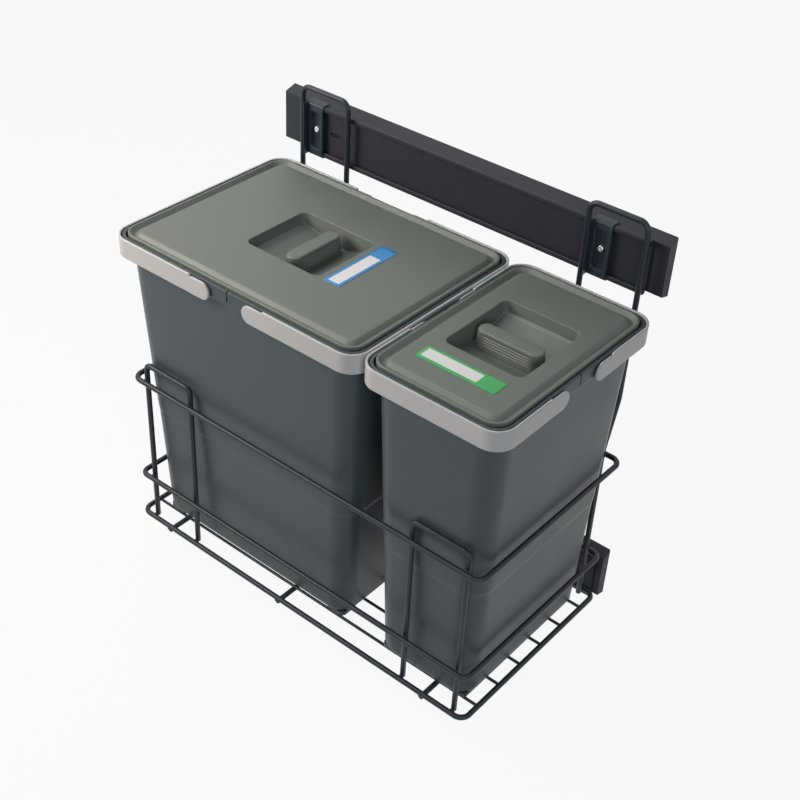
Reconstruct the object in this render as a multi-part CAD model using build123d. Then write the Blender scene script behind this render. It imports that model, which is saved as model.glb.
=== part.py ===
from build123d import *
from math import radians, tan
import os

# Pull-out bin frame for the side wall of a kitchen base cabinet. Two telescopic ball
# slides carry a welded wire basket, and two lidded bins with folding carrying bails
# stand in the basket. Millimetres. +X is the pull-out direction, +Y points at the
# cabinet wall, +Z is up. The origin is the centre of the upper wall rail's screw
# pattern, on the wall face. Everything is drawn closed, with the bails folded down.

# Slides: each has a wall rail, a cover that is the middle member, and a moving channel
SLIDE_SPACING = 408.0
FULL_TRAVEL = 440.0
COVER_LENGTH = 500.0
COVER_HEIGHT = 65.0
COVER_BEVEL = 4.5
COVER_DEPTH = 15.0
COVER_SHEET = 1.2
COVER_WALL_GAP = 1.5
COVER_EDGE_RADIUS = 1.0
COVER_END_RADIUS = 2.5
COVER_SHIFTS = {"upper": 0.0, "lower": -9.5}
SLOT_HEIGHT = 25.0
SLOT_END_GAP = 3.0
SLOT_START_GAP = 1.0

WALL_RAIL_LENGTH = 470.0
WALL_RAIL_SHEET = 1.5
RAIL_HOLE_DIAMETER = 4.5
RAIL_HOLE_SPACING = 320.0
BUFFER_WIDTH = 16.0
BUFFER_DEPTH = 5.0
BUFFER_LENGTH = 26.0
BUFFER_GAP = 0.3

BALL_DIAMETER = 3.2
BALL_CLEARANCE = 0.18
TRACK_HEIGHT = 22.0
GROOVE_DEPTH = 0.55
FLANGE_HEIGHT = 3.2
FLANGE_PAST_BALL = 2.5
WALL_TRACK_Y = -4.6
BASKET_TRACK_Y = -11.4
RACEWAY_SIDE = 2.3
RACEWAY_END_GAP = 5.0
CAGE_SHEET = 0.8
CAGE_WIDTH = 4.4
CAGE_HOLE_CLEARANCE = 0.1
CAGE_END = 8.0
WALL_CAGE_LENGTH = 150.0
WALL_CAGE_CENTRE = -5.0
WALL_BALL_COUNT = 7
BASKET_CAGE_LENGTH = 96.0
BASKET_CAGE_CENTRE = -44.0
BASKET_BALL_COUNT = 5

SLIDER_LEFT = -204.0
SLIDER_LENGTH = 210.0
SLIDER_WEB = 1.2
SLIDER_NECK_HEIGHT = 22.0

# Moving channel, open towards the basket, with rolled lips
CHANNEL_LEFT = -208.0
CHANNEL_LENGTH = 440.0
CHANNEL_HEIGHT = 60.0
CHANNEL_SHEET = 1.2
CHANNEL_DEPTH = 6.0
CHANNEL_COVER_GAP = 1.0
CHANNEL_LIP = 5.2
CHANNEL_RETURN = 1.8
CHANNEL_BEND = 0.8
WEB_SLOT_LENGTH = 14.0
WEB_SLOT_HEIGHT = 4.5
WEB_SLOT_CENTRE = -173.0

# Welded wire basket
WIRE = 6.0
FLOOR_WIRE = 3.5
WELD_SEAT = 0.05
BASKET_LENGTH = 480.0
BASKET_SHIFT = 7.0
BASKET_WALL_GAP = 37.5
RIM_OVERHANG = 5.0
BASKET_DROP = 415.0
RING_HEIGHTS = {"bottom_ring": 0.0, "middle_ring": 59.0, "top_ring": 195.0}
RING_CORNERS = {"bottom_ring": 11.0, "middle_ring": 9.0, "top_ring": 11.0}
RING_END_INSETS = {"bottom_ring": (0.8, 0.0), "middle_ring": (3.5, 2.0), "top_ring": (3.5, -2.5)}
HOOP_PLACES = {"left": 19.5, "right": 396.0}
HOOP_WIDTH = 68.0
HOOP_HEIGHT = 216.0
HOOP_CORNER = 6.5
HOOP_FOOT = 1.0
HOOK_HEIGHT = 465.0
HOOK_WIDTH = 66.0
HOOK_CORNER = 10.0
HOOK_FOOT = 4.0
HOOK_JOG_LOW = 203.0
HOOK_JOG_HIGH = 262.0
HOOK_JOG_RADIUS = 30.0
CROSS_WIRE_PLACES = (46.0, 220.0, 425.5)
CROSS_WIRE_STUB = 1.0
FLOOR_WIRE_COUNT = 6
FLOOR_WIRE_INSET = 26.7

# Brackets that join the hooks to the channels, and their screws
BRACKET_WIDTH = 23.5
BRACKET_SHEET = 1.2
BRACKET_GAP = 0.3
BRACKET_CAP_DEPTH = 11.5
BRACKET_RETURN_HEIGHT = 42.0
BRACKET_RETURN_DEPTH = 3.6
BRACKET_PAST_WIRE = 0.5
DIMPLE_WIDTH = 15.0
DIMPLE_HEIGHT = 44.0
DIMPLE_CORNER = 3.0
DIMPLE_WEB_GAP = 0.2
SCREW_SHANK = 4.0
SCREW_HEAD = 7.2
SCREW_HEAD_HEIGHT = 2.6
SCREW_HEAD_EDGE = 1.1
SCREW_PAST_WEB = 0.5
SCREW_HOLE_CLEARANCE = 0.2
SCREW_CROSS_WIDTH = 1.1
SCREW_CROSS_LENGTH = 4.0
SCREW_CROSS_DEPTH = 1.5

# Bins. The lengths are over the folded bails, and every inset is measured from there
BIN_WIDTH = 254.0
LARGE_LENGTH = 334.5
SMALL_LENGTH = 165.0
BIN_GAP = 1.5
LARGE_LEFT = -242.5
BIN_SEAT_GAP = 0.3
BIN_HEIGHT = 371.5
BIN_WALL = 1.8
BIN_FLOOR = 2.2
FOOT_HEIGHT = 5.0
FOOT_SIZE = 26.0
FOOT_CORNER = 6.0
BASE_INSETS = {"large": 26.0, "small": 23.0}
BASE_EDGE = 4.0
BASE_CORNER = 22.0
LEDGE_HEIGHT = 150.0
LEDGE_RISE = 2.0
LEDGE_INSETS = {"large": 20.0, "small": 18.0}
LEDGE_STEP = 1.0
NECK_INSET = 10.0
NECK_CORNER = 25.0
NECK_DROP = 21.0
RIM_DROP = 15.0
RIM_INSET = 3.6
RIM_WALL = 3.6
RIM_CORNER = 19.5
RIM_SLIT_WIDTH = 1.6
RIM_SLIT_DEPTH = 12.0

# Carrying bails, two to a bin
BAIL_HEIGHT = 22.0
BAIL_THICKNESS = 2.6
BAIL_ABOVE_RIM = 0.8
BAIL_CORNER = 22.0
BAIL_PIVOT_SPACING = 65.0
BAIL_STEP = 2.0
BAIL_STEP_LENGTH = 16.0
PIVOT_PIN = 6.0
PIVOT_CLEARANCE = 0.05
PIVOT_PAST_RIM = 0.9

# Lids: rolled edge, gutter, raised panel, and a finger recess that is deepest at the grip bar
LID_INSET = 6.2
LID_CORNER = 18.0
LID_GAP = 0.3
LID_EDGE = 2.6
LID_SKIN = 2.0
LID_ROLL = 4.6
LID_GUTTER_DEPTH = 4.0
LID_PANEL_INSET = 20.5
LID_PANEL_CORNER = 7.0
LID_PANEL_DROP = 0.4
LID_PANEL_SLOPE = 45.0
LID_SKIRT_GAP = 0.6
LID_SKIRT = 2.0
LID_SKIRT_DEPTH = 6.0
RECESS_LENGTH = 100.0
RECESS_WIDTH = 89.5
RECESS_DEPTH = 22.0
RECESS_END_DEPTH = 12.0
RECESS_CORNER = 8.0
RECESS_ANGLE = 8.0
RECESS_SHIFT = 3.2
GRIP_LENGTH = 72.0
GRIP_WIDTH = 17.0
GRIP_CORNER = 8.0
GRIP_ANGLE = 7.0
GRIP_DROP = 0.5
LABEL_LENGTH = 90.0
LABEL_WIDTH = 21.0
LABEL_SHEET = 0.4
LABEL_CORNER = 1.5
LARGE_LABEL_PLACE = (64.5, 0.5)
SMALL_LABEL_PLACE = (72.5, -4.0)

# How far a cut runs past the solid that it cuts
OVERRUN = 1.0

# Places that follow from the sizes above
COVER_BACK_Y = -COVER_WALL_GAP
COVER_FRONT_Y = COVER_BACK_Y - COVER_DEPTH
CHANNEL_BACK_Y = COVER_FRONT_Y - CHANNEL_COVER_GAP
CHANNEL_WEB_Y = CHANNEL_BACK_Y - CHANNEL_SHEET
CHANNEL_FRONT_Y = CHANNEL_BACK_Y - CHANNEL_DEPTH
GROOVE_RADIUS = BALL_DIAMETER / 2 + BALL_CLEARANCE
FLANGE_TOP = TRACK_HEIGHT - GROOVE_RADIUS + GROOVE_DEPTH
RACEWAY_BOTTOM = TRACK_HEIGHT + GROOVE_RADIUS - GROOVE_DEPTH
SLIDER_RIGHT = SLIDER_LEFT + SLIDER_LENGTH
BRACKET_FRONT_Y = CHANNEL_FRONT_Y - BRACKET_GAP - BRACKET_SHEET
BRACKET_INSIDE = CHANNEL_HEIGHT / 2 + BRACKET_GAP
DIMPLE_FLOOR_Y = CHANNEL_WEB_Y - DIMPLE_WEB_GAP
BASKET_LEFT = BASKET_SHIFT - BASKET_LENGTH / 2
BASKET_WIDTH = BIN_WIDTH - 2 * RIM_OVERHANG
BASKET_CENTRE_Y = -BASKET_WALL_GAP - BASKET_WIDTH / 2
BASKET_FRONT_Y = BASKET_CENTRE_Y - BASKET_WIDTH / 2
BASKET_Z = -BASKET_DROP
CROSS_WIRE_Z = BASKET_Z - WIRE - WELD_SEAT
FLOOR_WIRE_Z = CROSS_WIRE_Z + WIRE / 2 + WELD_SEAT + FLOOR_WIRE / 2
FRONT_LEG_Y = BASKET_FRONT_Y + WIRE + WELD_SEAT
REAR_LEG_Y = -BASKET_WALL_GAP - WIRE - WELD_SEAT
HOOK_Y = BRACKET_FRONT_Y - WELD_SEAT - WIRE / 2
BIN_Z = FLOOR_WIRE_Z + FLOOR_WIRE / 2 + BIN_SEAT_GAP
LARGE_CENTRE_X = LARGE_LEFT + LARGE_LENGTH / 2
SMALL_CENTRE_X = LARGE_LEFT + LARGE_LENGTH + BIN_GAP + SMALL_LENGTH / 2
BAIL_TOP = BIN_HEIGHT + BAIL_ABOVE_RIM
BAIL_END_RADIUS = (BAIL_HEIGHT - BAIL_STEP) / 2
PIVOT_HEIGHT = BAIL_TOP - BAIL_HEIGHT + BAIL_END_RADIUS
LID_BOTTOM = BIN_HEIGHT + LID_GAP
LID_TOP = LID_BOTTOM + LID_EDGE
LID_PANEL = LID_TOP - LID_PANEL_DROP
GRIP_FOOT = GRIP_WIDTH / 2 + (RECESS_DEPTH - GRIP_DROP) * tan(radians(GRIP_ANGLE))
SLIDES = {"upper": 0.0, "lower": -SLIDE_SPACING}
SIDES = (1, -1)
SMALL_TURN = -90.0

os.makedirs("parts", exist_ok=True)


def save(name, shape):
    # One STEP file for each named sub-part
    export_step(shape, f"parts/{name}.step")


def block(x, y, z):
    # A box given by its lowest and highest place along each axis
    corner = (min(x), min(y), min(z))
    size = (max(x) - min(x), max(y) - min(y), max(z) - min(z))
    return Pos(*corner) * Box(*size, align=(Align.MIN, Align.MIN, Align.MIN))


def bar(points, x):
    # An outline in Y and Z, drawn out between two places along X
    face = make_face(Plane.YZ * Polyline(*points, close=True))
    return Pos(min(x), 0, 0) * extrude(face, amount=max(x) - min(x), dir=(1, 0, 0))


def rod(start, end, diameter):
    # A round wire or pin between two points
    run = Vector(*end) - Vector(*start)
    disc = Plane(origin=start, z_dir=run) * Circle(diameter / 2)
    return extrude(disc, amount=run.length)


def bent_wire(points, radii, diameter):
    # A round wire along straight runs joined by tangent arcs
    path = FilletPolyline(*points, radius=radii)
    disc = Plane(origin=path @ 0, z_dir=path % 0) * Circle(diameter / 2)
    return sweep(disc, path=path)


def both(shape):
    # The shape and its mirror image below the slide's centre line
    return shape, mirror(shape, about=Plane.XY)


def cover_height(y):
    # Outside half height of the cover at a depth
    return COVER_HEIGHT / 2 - COVER_BEVEL * (COVER_BACK_Y - y) / COVER_DEPTH


def cover_wall():
    # Height that the sloping wall of the cover takes up
    slope = COVER_BEVEL / COVER_DEPTH
    return COVER_SHEET * (1 + slope * slope) ** 0.5


def track(y, x):
    # The ball tracks at one depth, as two long rods that cut their grooves
    reach = (min(x) - OVERRUN, max(x) + OVERRUN)
    ends = [(place, y, TRACK_HEIGHT) for place in reach]
    return both(rod(*ends, 2 * GROOVE_RADIUS))


def grooved_rail(web_y, sheet, track_y, flange_y, x):
    # A sheet web with a grooved flange along its upper and lower edge
    web_edge = web_y + sheet if flange_y < web_y else web_y - sheet
    rail = block(x, (web_edge, web_y), (-FLANGE_TOP, FLANGE_TOP))
    flange = block(x, (web_edge, flange_y), (FLANGE_TOP - FLANGE_HEIGHT, FLANGE_TOP))
    for piece in both(flange):
        rail += piece
    for groove in track(track_y, x):
        rail -= groove
    return rail


def wall_rail():
    half = WALL_RAIL_LENGTH / 2
    flange_y = WALL_TRACK_Y - FLANGE_PAST_BALL
    rail = grooved_rail(-WALL_RAIL_SHEET, WALL_RAIL_SHEET, WALL_TRACK_Y, flange_y, (-half, half))
    for side in SIDES:
        x = side * RAIL_HOLE_SPACING / 2
        rail -= rod((x, OVERRUN, 0), (x, -WALL_RAIL_SHEET - OVERRUN, 0), RAIL_HOLE_DIAMETER)
    return rail


def closing_buffer(shift):
    # Rubber block at the rail's front end, which the cover's end wall meets when closed
    end = shift + COVER_LENGTH / 2 - COVER_SHEET - BUFFER_GAP
    back = -WALL_RAIL_SHEET
    half = BUFFER_WIDTH / 2
    return block((end - BUFFER_LENGTH, end), (back - BUFFER_DEPTH, back), (-half, half))


def cover(shift):
    # Pressed steel middle member: bevelled long edges, open back, closed pull-out end
    left = shift - COVER_LENGTH / 2
    right = shift + COVER_LENGTH / 2
    back = cover_height(COVER_BACK_Y)
    front = cover_height(COVER_FRONT_Y)
    half = [(COVER_BACK_Y, back), (COVER_FRONT_Y, front)]
    shell = bar(half + [(y, -z) for y, z in reversed(half)], (left, right))
    end_edge = shell.edges().filter_by(Axis.Z).sort_by(Axis.X)[-1]
    shell = fillet(end_edge, COVER_END_RADIUS)
    ahead = COVER_BACK_Y - COVER_SHEET
    edges = [edge for edge in shell.edges().filter_by(Axis.X) if edge.center().Y < ahead]
    shell = fillet(edges, COVER_EDGE_RADIUS)
    inner_front = COVER_FRONT_Y + COVER_SHEET
    inner_back = COVER_BACK_Y + OVERRUN
    low = cover_height(inner_front) - cover_wall()
    high = cover_height(inner_back) - cover_wall()
    hollow = [(inner_back, high), (inner_front, low), (inner_front, -low), (inner_back, -high)]
    shell -= bar(hollow, (left - OVERRUN, right - COVER_SHEET))
    slot_end = SLIDER_RIGHT + FULL_TRAVEL / 2 + SLOT_END_GAP
    slot_x = (SLIDER_LEFT - SLOT_START_GAP, slot_end)
    slot_y = (COVER_FRONT_Y - OVERRUN, inner_front + OVERRUN)
    return shell - block(slot_x, slot_y, (-SLOT_HEIGHT / 2, SLOT_HEIGHT / 2))


def raceways(shift):
    # Grooved strips welded inside the cover's upper and lower wall
    back = WALL_TRACK_Y + RACEWAY_SIDE
    front = BASKET_TRACK_Y - RACEWAY_SIDE
    seat = cover_wall() + WELD_SEAT
    outline = [
        (back, RACEWAY_BOTTOM),
        (back, cover_height(back) - seat),
        (front, cover_height(front) - seat),
        (front, RACEWAY_BOTTOM),
    ]
    end = COVER_LENGTH / 2 - RACEWAY_END_GAP
    x = (shift - end, shift + end)
    strip = bar(outline, x)
    for y in (WALL_TRACK_Y, BASKET_TRACK_Y):
        strip -= track(y, x)[0]
    return Compound(list(both(strip)))


def ball_places(centre, length, count):
    # Evenly spaced balls along a cage
    first = centre - length / 2 + CAGE_END
    step = (length - 2 * CAGE_END) / (count - 1)
    return [first + step * index for index in range(count)]


def cage(y, centre, length, count):
    # Thin strips that keep the balls apart, one for each ball row
    x = (centre - length / 2, centre + length / 2)
    sheet = (TRACK_HEIGHT - CAGE_SHEET / 2, TRACK_HEIGHT + CAGE_SHEET / 2)
    strip = block(x, (y - CAGE_WIDTH / 2, y + CAGE_WIDTH / 2), sheet)
    for place in ball_places(centre, length, count):
        low = (place, y, TRACK_HEIGHT - OVERRUN)
        strip -= rod(low, (place, y, TRACK_HEIGHT + OVERRUN), BALL_DIAMETER + 2 * CAGE_HOLE_CLEARANCE)
    return Compound(list(both(strip)))


def balls(y, centre, length, count):
    places = ball_places(centre, length, count)
    row = [Pos(place, y, TRACK_HEIGHT) * Sphere(BALL_DIAMETER / 2) for place in places]
    return Compound([ball for one in row for ball in both(one)])


def slider():
    # Runs inside the cover; its neck passes the slot and is welded to the channel
    x = (SLIDER_LEFT, SLIDER_RIGHT)
    web_y = BASKET_TRACK_Y - FLANGE_PAST_BALL + SLIDER_WEB
    rail = grooved_rail(web_y, SLIDER_WEB, BASKET_TRACK_Y, BASKET_TRACK_Y + FLANGE_PAST_BALL, x)
    neck_y = (CHANNEL_BACK_Y + WELD_SEAT, web_y)
    rail += block(x, neck_y, (-SLIDER_NECK_HEIGHT / 2, SLIDER_NECK_HEIGHT / 2))
    hole_end = CHANNEL_BACK_Y + SCREW_PAST_WEB + SCREW_HOLE_CLEARANCE
    for side in HOOP_PLACES:
        place = screw_place(side)
        ends = ((place, CHANNEL_BACK_Y - OVERRUN, 0), (place, hole_end, 0))
        rail -= rod(*ends, SCREW_SHANK + SCREW_HOLE_CLEARANCE)
    return rail


def hook_left(side):
    # Left leg of a rear hook, which shares its centre line with the front hoop
    return BASKET_LEFT + HOOP_PLACES[side] + (HOOP_WIDTH - HOOK_WIDTH) / 2


def bracket_left(side):
    # Left edge of a bracket, against the hook's left leg
    return hook_left(side) + WIRE / 2 + WELD_SEAT


def screw_place(side):
    return bracket_left(side) + BRACKET_WIDTH / 2


def channel():
    # Rolled C-section with lips, its web against the slider's neck
    half_sheet = CHANNEL_SHEET / 2
    top = CHANNEL_HEIGHT / 2 - half_sheet
    web = CHANNEL_BACK_Y - half_sheet
    front = CHANNEL_FRONT_Y + half_sheet
    lip = CHANNEL_HEIGHT / 2 - CHANNEL_LIP
    half = [(front + CHANNEL_RETURN, lip), (front, lip), (front, top), (web, top)]
    line = half + [(y, -z) for y, z in reversed(half)]
    section = Plane.YZ * trace(FilletPolyline(*line, radius=CHANNEL_BEND), CHANNEL_SHEET)
    rail = Pos(CHANNEL_LEFT, 0, 0) * extrude(section, amount=CHANNEL_LENGTH, dir=(1, 0, 0))
    web_y = (CHANNEL_BACK_Y + OVERRUN, CHANNEL_WEB_Y - OVERRUN)
    for side in HOOP_PLACES:
        x = screw_place(side)
        rail -= rod((x, web_y[0], 0), (x, web_y[1], 0), SCREW_SHANK + SCREW_HOLE_CLEARANCE)
    slot = Plane.XZ * SlotOverall(WEB_SLOT_LENGTH, WEB_SLOT_HEIGHT)
    return rail - Pos(WEB_SLOT_CENTRE, web_y[0], 0) * extrude(slot, amount=web_y[0] - web_y[1])


def dimple_block(centre, wall, y):
    # The pressed dimple's outside, or its inside where a wall is given
    wide = DIMPLE_WIDTH - 2 * wall
    high = DIMPLE_HEIGHT - 2 * wall
    face = Plane.XZ * RectangleRounded(wide, high, DIMPLE_CORNER - wall)
    return Pos(centre, max(y), 0) * extrude(face, amount=max(y) - min(y))


def bracket(side, leg_y, flange_low):
    # Clip plate in front of the channel, with caps over it and a flange to the hook
    left = bracket_left(side)
    right = left + BRACKET_WIDTH
    x = (left, right)
    back = BRACKET_FRONT_Y + BRACKET_SHEET
    outside = BRACKET_INSIDE + BRACKET_SHEET
    plate = block(x, (BRACKET_FRONT_Y, back), (-outside, outside))
    cap = block(x, (BRACKET_FRONT_Y, BRACKET_FRONT_Y + BRACKET_CAP_DEPTH), (BRACKET_INSIDE, outside))
    for piece in both(cap):
        plate += piece
    reach = leg_y - WIRE / 2 - BRACKET_PAST_WIRE
    plate += block((left, left + BRACKET_SHEET), (reach, back), (flange_low, outside))
    half = BRACKET_RETURN_HEIGHT / 2
    return_y = (BRACKET_FRONT_Y, back + BRACKET_RETURN_DEPTH)
    plate += block((right - BRACKET_SHEET, right), return_y, (-half, half))
    centre = screw_place(side)
    plate += dimple_block(centre, 0, (DIMPLE_FLOOR_Y, back))
    plate -= dimple_block(centre, BRACKET_SHEET, (DIMPLE_FLOOR_Y - BRACKET_SHEET, BRACKET_FRONT_Y - OVERRUN))
    hole = SCREW_SHANK + SCREW_HOLE_CLEARANCE
    return plate - rod((centre, DIMPLE_FLOOR_Y + OVERRUN, 0), (centre, BRACKET_FRONT_Y, 0), hole)


def bracket_screw(side):
    # Pan head with a cross recess, in the bracket's dimple
    x = screw_place(side)
    seat = DIMPLE_FLOOR_Y - BRACKET_SHEET
    head = rod((x, seat, 0), (x, seat - SCREW_HEAD_HEIGHT, 0), SCREW_HEAD)
    head = fillet(head.edges().sort_by(Axis.Y)[0], SCREW_HEAD_EDGE)
    screw = head + rod((x, seat, 0), (x, CHANNEL_BACK_Y + SCREW_PAST_WEB, 0), SCREW_SHANK)
    y = (seat - SCREW_HEAD_HEIGHT - OVERRUN, seat - SCREW_HEAD_HEIGHT + SCREW_CROSS_DEPTH)
    wide = (-SCREW_CROSS_LENGTH / 2, SCREW_CROSS_LENGTH / 2)
    thin = (-SCREW_CROSS_WIDTH / 2, SCREW_CROSS_WIDTH / 2)
    for across, upright in ((wide, thin), (thin, wide)):
        screw -= block((x + across[0], x + across[1]), y, upright)
    return screw


def ring_ends(name):
    # Left and right end of a ring, which differ a little from ring to ring
    near, far = RING_END_INSETS[name]
    return BASKET_LEFT + near, BASKET_LEFT + BASKET_LENGTH - far


def ring(name):
    # Closed wire ring of the basket
    left, right = ring_ends(name)
    outline = RectangleRounded(right - left, BASKET_WIDTH, RING_CORNERS[name])
    path = Pos((left + right) / 2, BASKET_CENTRE_Y, BASKET_Z + RING_HEIGHTS[name]) * outline
    wire = path.wire()
    return sweep(Plane(origin=wire @ 0, z_dir=wire % 0) * Circle(WIRE / 2), path=wire)


def front_hoop(side):
    # Upright inverted U inside the front of the rings
    left = BASKET_LEFT + HOOP_PLACES[side]
    right = left + HOOP_WIDTH
    low = BASKET_Z - HOOP_FOOT
    high = BASKET_Z + HOOP_HEIGHT
    y = FRONT_LEG_Y
    return bent_wire([(left, y, low), (left, y, high), (right, y, high), (right, y, low)], HOOP_CORNER, WIRE)


def rear_hook(side):
    # Taller hoop inside the rear of the rings, stepped back above them to the slide
    left = hook_left(side)
    leg = [
        (left, REAR_LEG_Y, BASKET_Z - HOOK_FOOT),
        (left, REAR_LEG_Y, BASKET_Z + HOOK_JOG_LOW),
        (left, HOOK_Y, BASKET_Z + HOOK_JOG_HIGH),
        (left, HOOK_Y, BASKET_Z + HOOK_HEIGHT),
    ]
    other = [(x + HOOK_WIDTH, y, z) for x, y, z in reversed(leg)]
    radii = [HOOK_JOG_RADIUS, HOOK_JOG_RADIUS, HOOK_CORNER]
    return bent_wire(leg + other, radii + radii[::-1], WIRE)


def cross_wire(place):
    x = BASKET_LEFT + place
    near = BASKET_FRONT_Y - CROSS_WIRE_STUB
    far = BASKET_FRONT_Y + BASKET_WIDTH + CROSS_WIRE_STUB
    return rod((x, near, CROSS_WIRE_Z), (x, far, CROSS_WIRE_Z), WIRE)


def floor_wires():
    # Thin wires along the basket, on the cross wires and between the ring's ends
    left, right = ring_ends("bottom_ring")
    seat = WIRE / 2 + WELD_SEAT
    step = (BASKET_WIDTH - 2 * FLOOR_WIRE_INSET) / (FLOOR_WIRE_COUNT - 1)
    places = [BASKET_FRONT_Y + FLOOR_WIRE_INSET + step * index for index in range(FLOOR_WIRE_COUNT)]
    ends = [((left + seat, y, FLOOR_WIRE_Z), (right - seat, y, FLOOR_WIRE_Z)) for y in places]
    return Compound([rod(*pair, FLOOR_WIRE) for pair in ends])


def outline(length, width, inset, corner, height):
    # Rounded rectangle at a height, inset from the outside of the folded bails
    return Pos(0, 0, height) * RectangleRounded(length - 2 * inset, width - 2 * inset, corner)


def drawn(length, width, inset, corner, heights):
    # That outline drawn up between two heights
    face = outline(length, width, inset, corner, min(heights))
    return extrude(face, amount=max(heights) - min(heights))


def bin_shell(name, length, width, wall, rim_wall, floor, top):
    # Tapered body from the base up through the ledge and the neck to the rim
    base = BASE_INSETS[name]
    ledge = LEDGE_INSETS[name]
    ledge_corner = (BASE_CORNER + NECK_CORNER) / 2
    sections = [
        (floor, base + BASE_EDGE, BASE_CORNER - BASE_EDGE, wall),
        (floor + BASE_EDGE, base, BASE_CORNER, wall),
        (LEDGE_HEIGHT, ledge, ledge_corner, wall),
        (LEDGE_HEIGHT + LEDGE_RISE, ledge - LEDGE_STEP, ledge_corner + LEDGE_STEP, wall),
        (BIN_HEIGHT - NECK_DROP, NECK_INSET, NECK_CORNER, wall),
        (BIN_HEIGHT - RIM_DROP, RIM_INSET, RIM_CORNER, rim_wall),
        (top, RIM_INSET, RIM_CORNER, rim_wall),
    ]
    faces = []
    for height, inset, corner, sheet in sections:
        faces.append(outline(length, width, inset + sheet, corner - sheet, height).face())
    return loft(faces, ruled=True)


def bin_body(name, length, width):
    # Shell with four feet, holes for the bails' pins, and a slit in the middle of each long rim
    body = bin_shell(name, length, width, 0, 0, FOOT_HEIGHT, BIN_HEIGHT)
    inside = (FOOT_HEIGHT + BIN_FLOOR, BIN_HEIGHT + OVERRUN)
    body -= bin_shell(name, length, width, BIN_WALL, RIM_WALL, *inside)
    foot_inset = BASE_INSETS[name] + BASE_EDGE + FOOT_SIZE / 2
    foot = extrude(RectangleRounded(FOOT_SIZE, FOOT_SIZE, FOOT_CORNER), amount=FOOT_HEIGHT + BIN_FLOOR / 2)
    for along in SIDES:
        for across in SIDES:
            body += Pos(along * (length / 2 - foot_inset), across * (width / 2 - foot_inset), 0) * foot
    reach = width / 2
    for along in SIDES:
        x = along * BAIL_PIVOT_SPACING / 2
        body -= rod((x, -reach, PIVOT_HEIGHT), (x, reach, PIVOT_HEIGHT), PIVOT_PIN + 2 * PIVOT_CLEARANCE)
    half = RIM_SLIT_WIDTH / 2
    return body - block((-half, half), (-reach, reach), (BIN_HEIGHT - RIM_SLIT_DEPTH, BIN_HEIGHT + OVERRUN))


def bail(length, width):
    # Flat U-shaped band round one end of the bin, with pivot pins on its two ends
    bottom = BAIL_TOP - BAIL_HEIGHT
    band = drawn(length, width, 0, BAIL_CORNER, (bottom, BAIL_TOP))
    inner_corner = BAIL_CORNER - BAIL_THICKNESS
    band -= drawn(length, width, BAIL_THICKNESS, inner_corner, (bottom - OVERRUN, BAIL_TOP + OVERRUN))
    pivot = BAIL_PIVOT_SPACING / 2
    step = pivot + BAIL_STEP_LENGTH
    reach = width / 2 + OVERRUN
    y = (-reach, reach)
    keep = block((step, length / 2 + OVERRUN), y, (bottom, BAIL_TOP))
    keep += block((pivot, step), y, (bottom, BAIL_TOP - BAIL_STEP))
    keep += rod((pivot, -reach, PIVOT_HEIGHT), (pivot, reach, PIVOT_HEIGHT), 2 * BAIL_END_RADIUS)
    band = band & keep
    inside = width / 2 - RIM_INSET - RIM_WALL - PIVOT_PAST_RIM
    outside = width / 2 - BAIL_THICKNESS / 2
    for side in SIDES:
        band += rod((pivot, side * inside, PIVOT_HEIGHT), (pivot, side * outside, PIVOT_HEIGHT), PIVOT_PIN)
    return band


def recess_well(grow):
    # Drafted finger recess, grown on every side for its wall. Its floor slopes down from
    # both ends to the foot of the grip bar
    mouth = RectangleRounded(RECESS_LENGTH + 2 * grow, RECESS_WIDTH + 2 * grow, RECESS_CORNER + grow)
    well = Pos(-RECESS_SHIFT, 0, LID_PANEL) * extrude(mouth, amount=-RECESS_DEPTH - grow, taper=RECESS_ANGLE)
    left = -RECESS_SHIFT - RECESS_LENGTH / 2 - grow
    right = -RECESS_SHIFT + RECESS_LENGTH / 2 + grow
    ends = LID_PANEL - RECESS_END_DEPTH - grow
    foot = LID_PANEL - RECESS_DEPTH - grow
    above = LID_PANEL + OVERRUN
    line = [(left, above), (left, ends), (-GRIP_FOOT, foot), (GRIP_FOOT, foot), (right, ends), (right, above)]
    valley = make_face(Plane.XZ * Polyline(*line, close=True))
    return well & extrude(valley, amount=RECESS_WIDTH, both=True)


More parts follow.
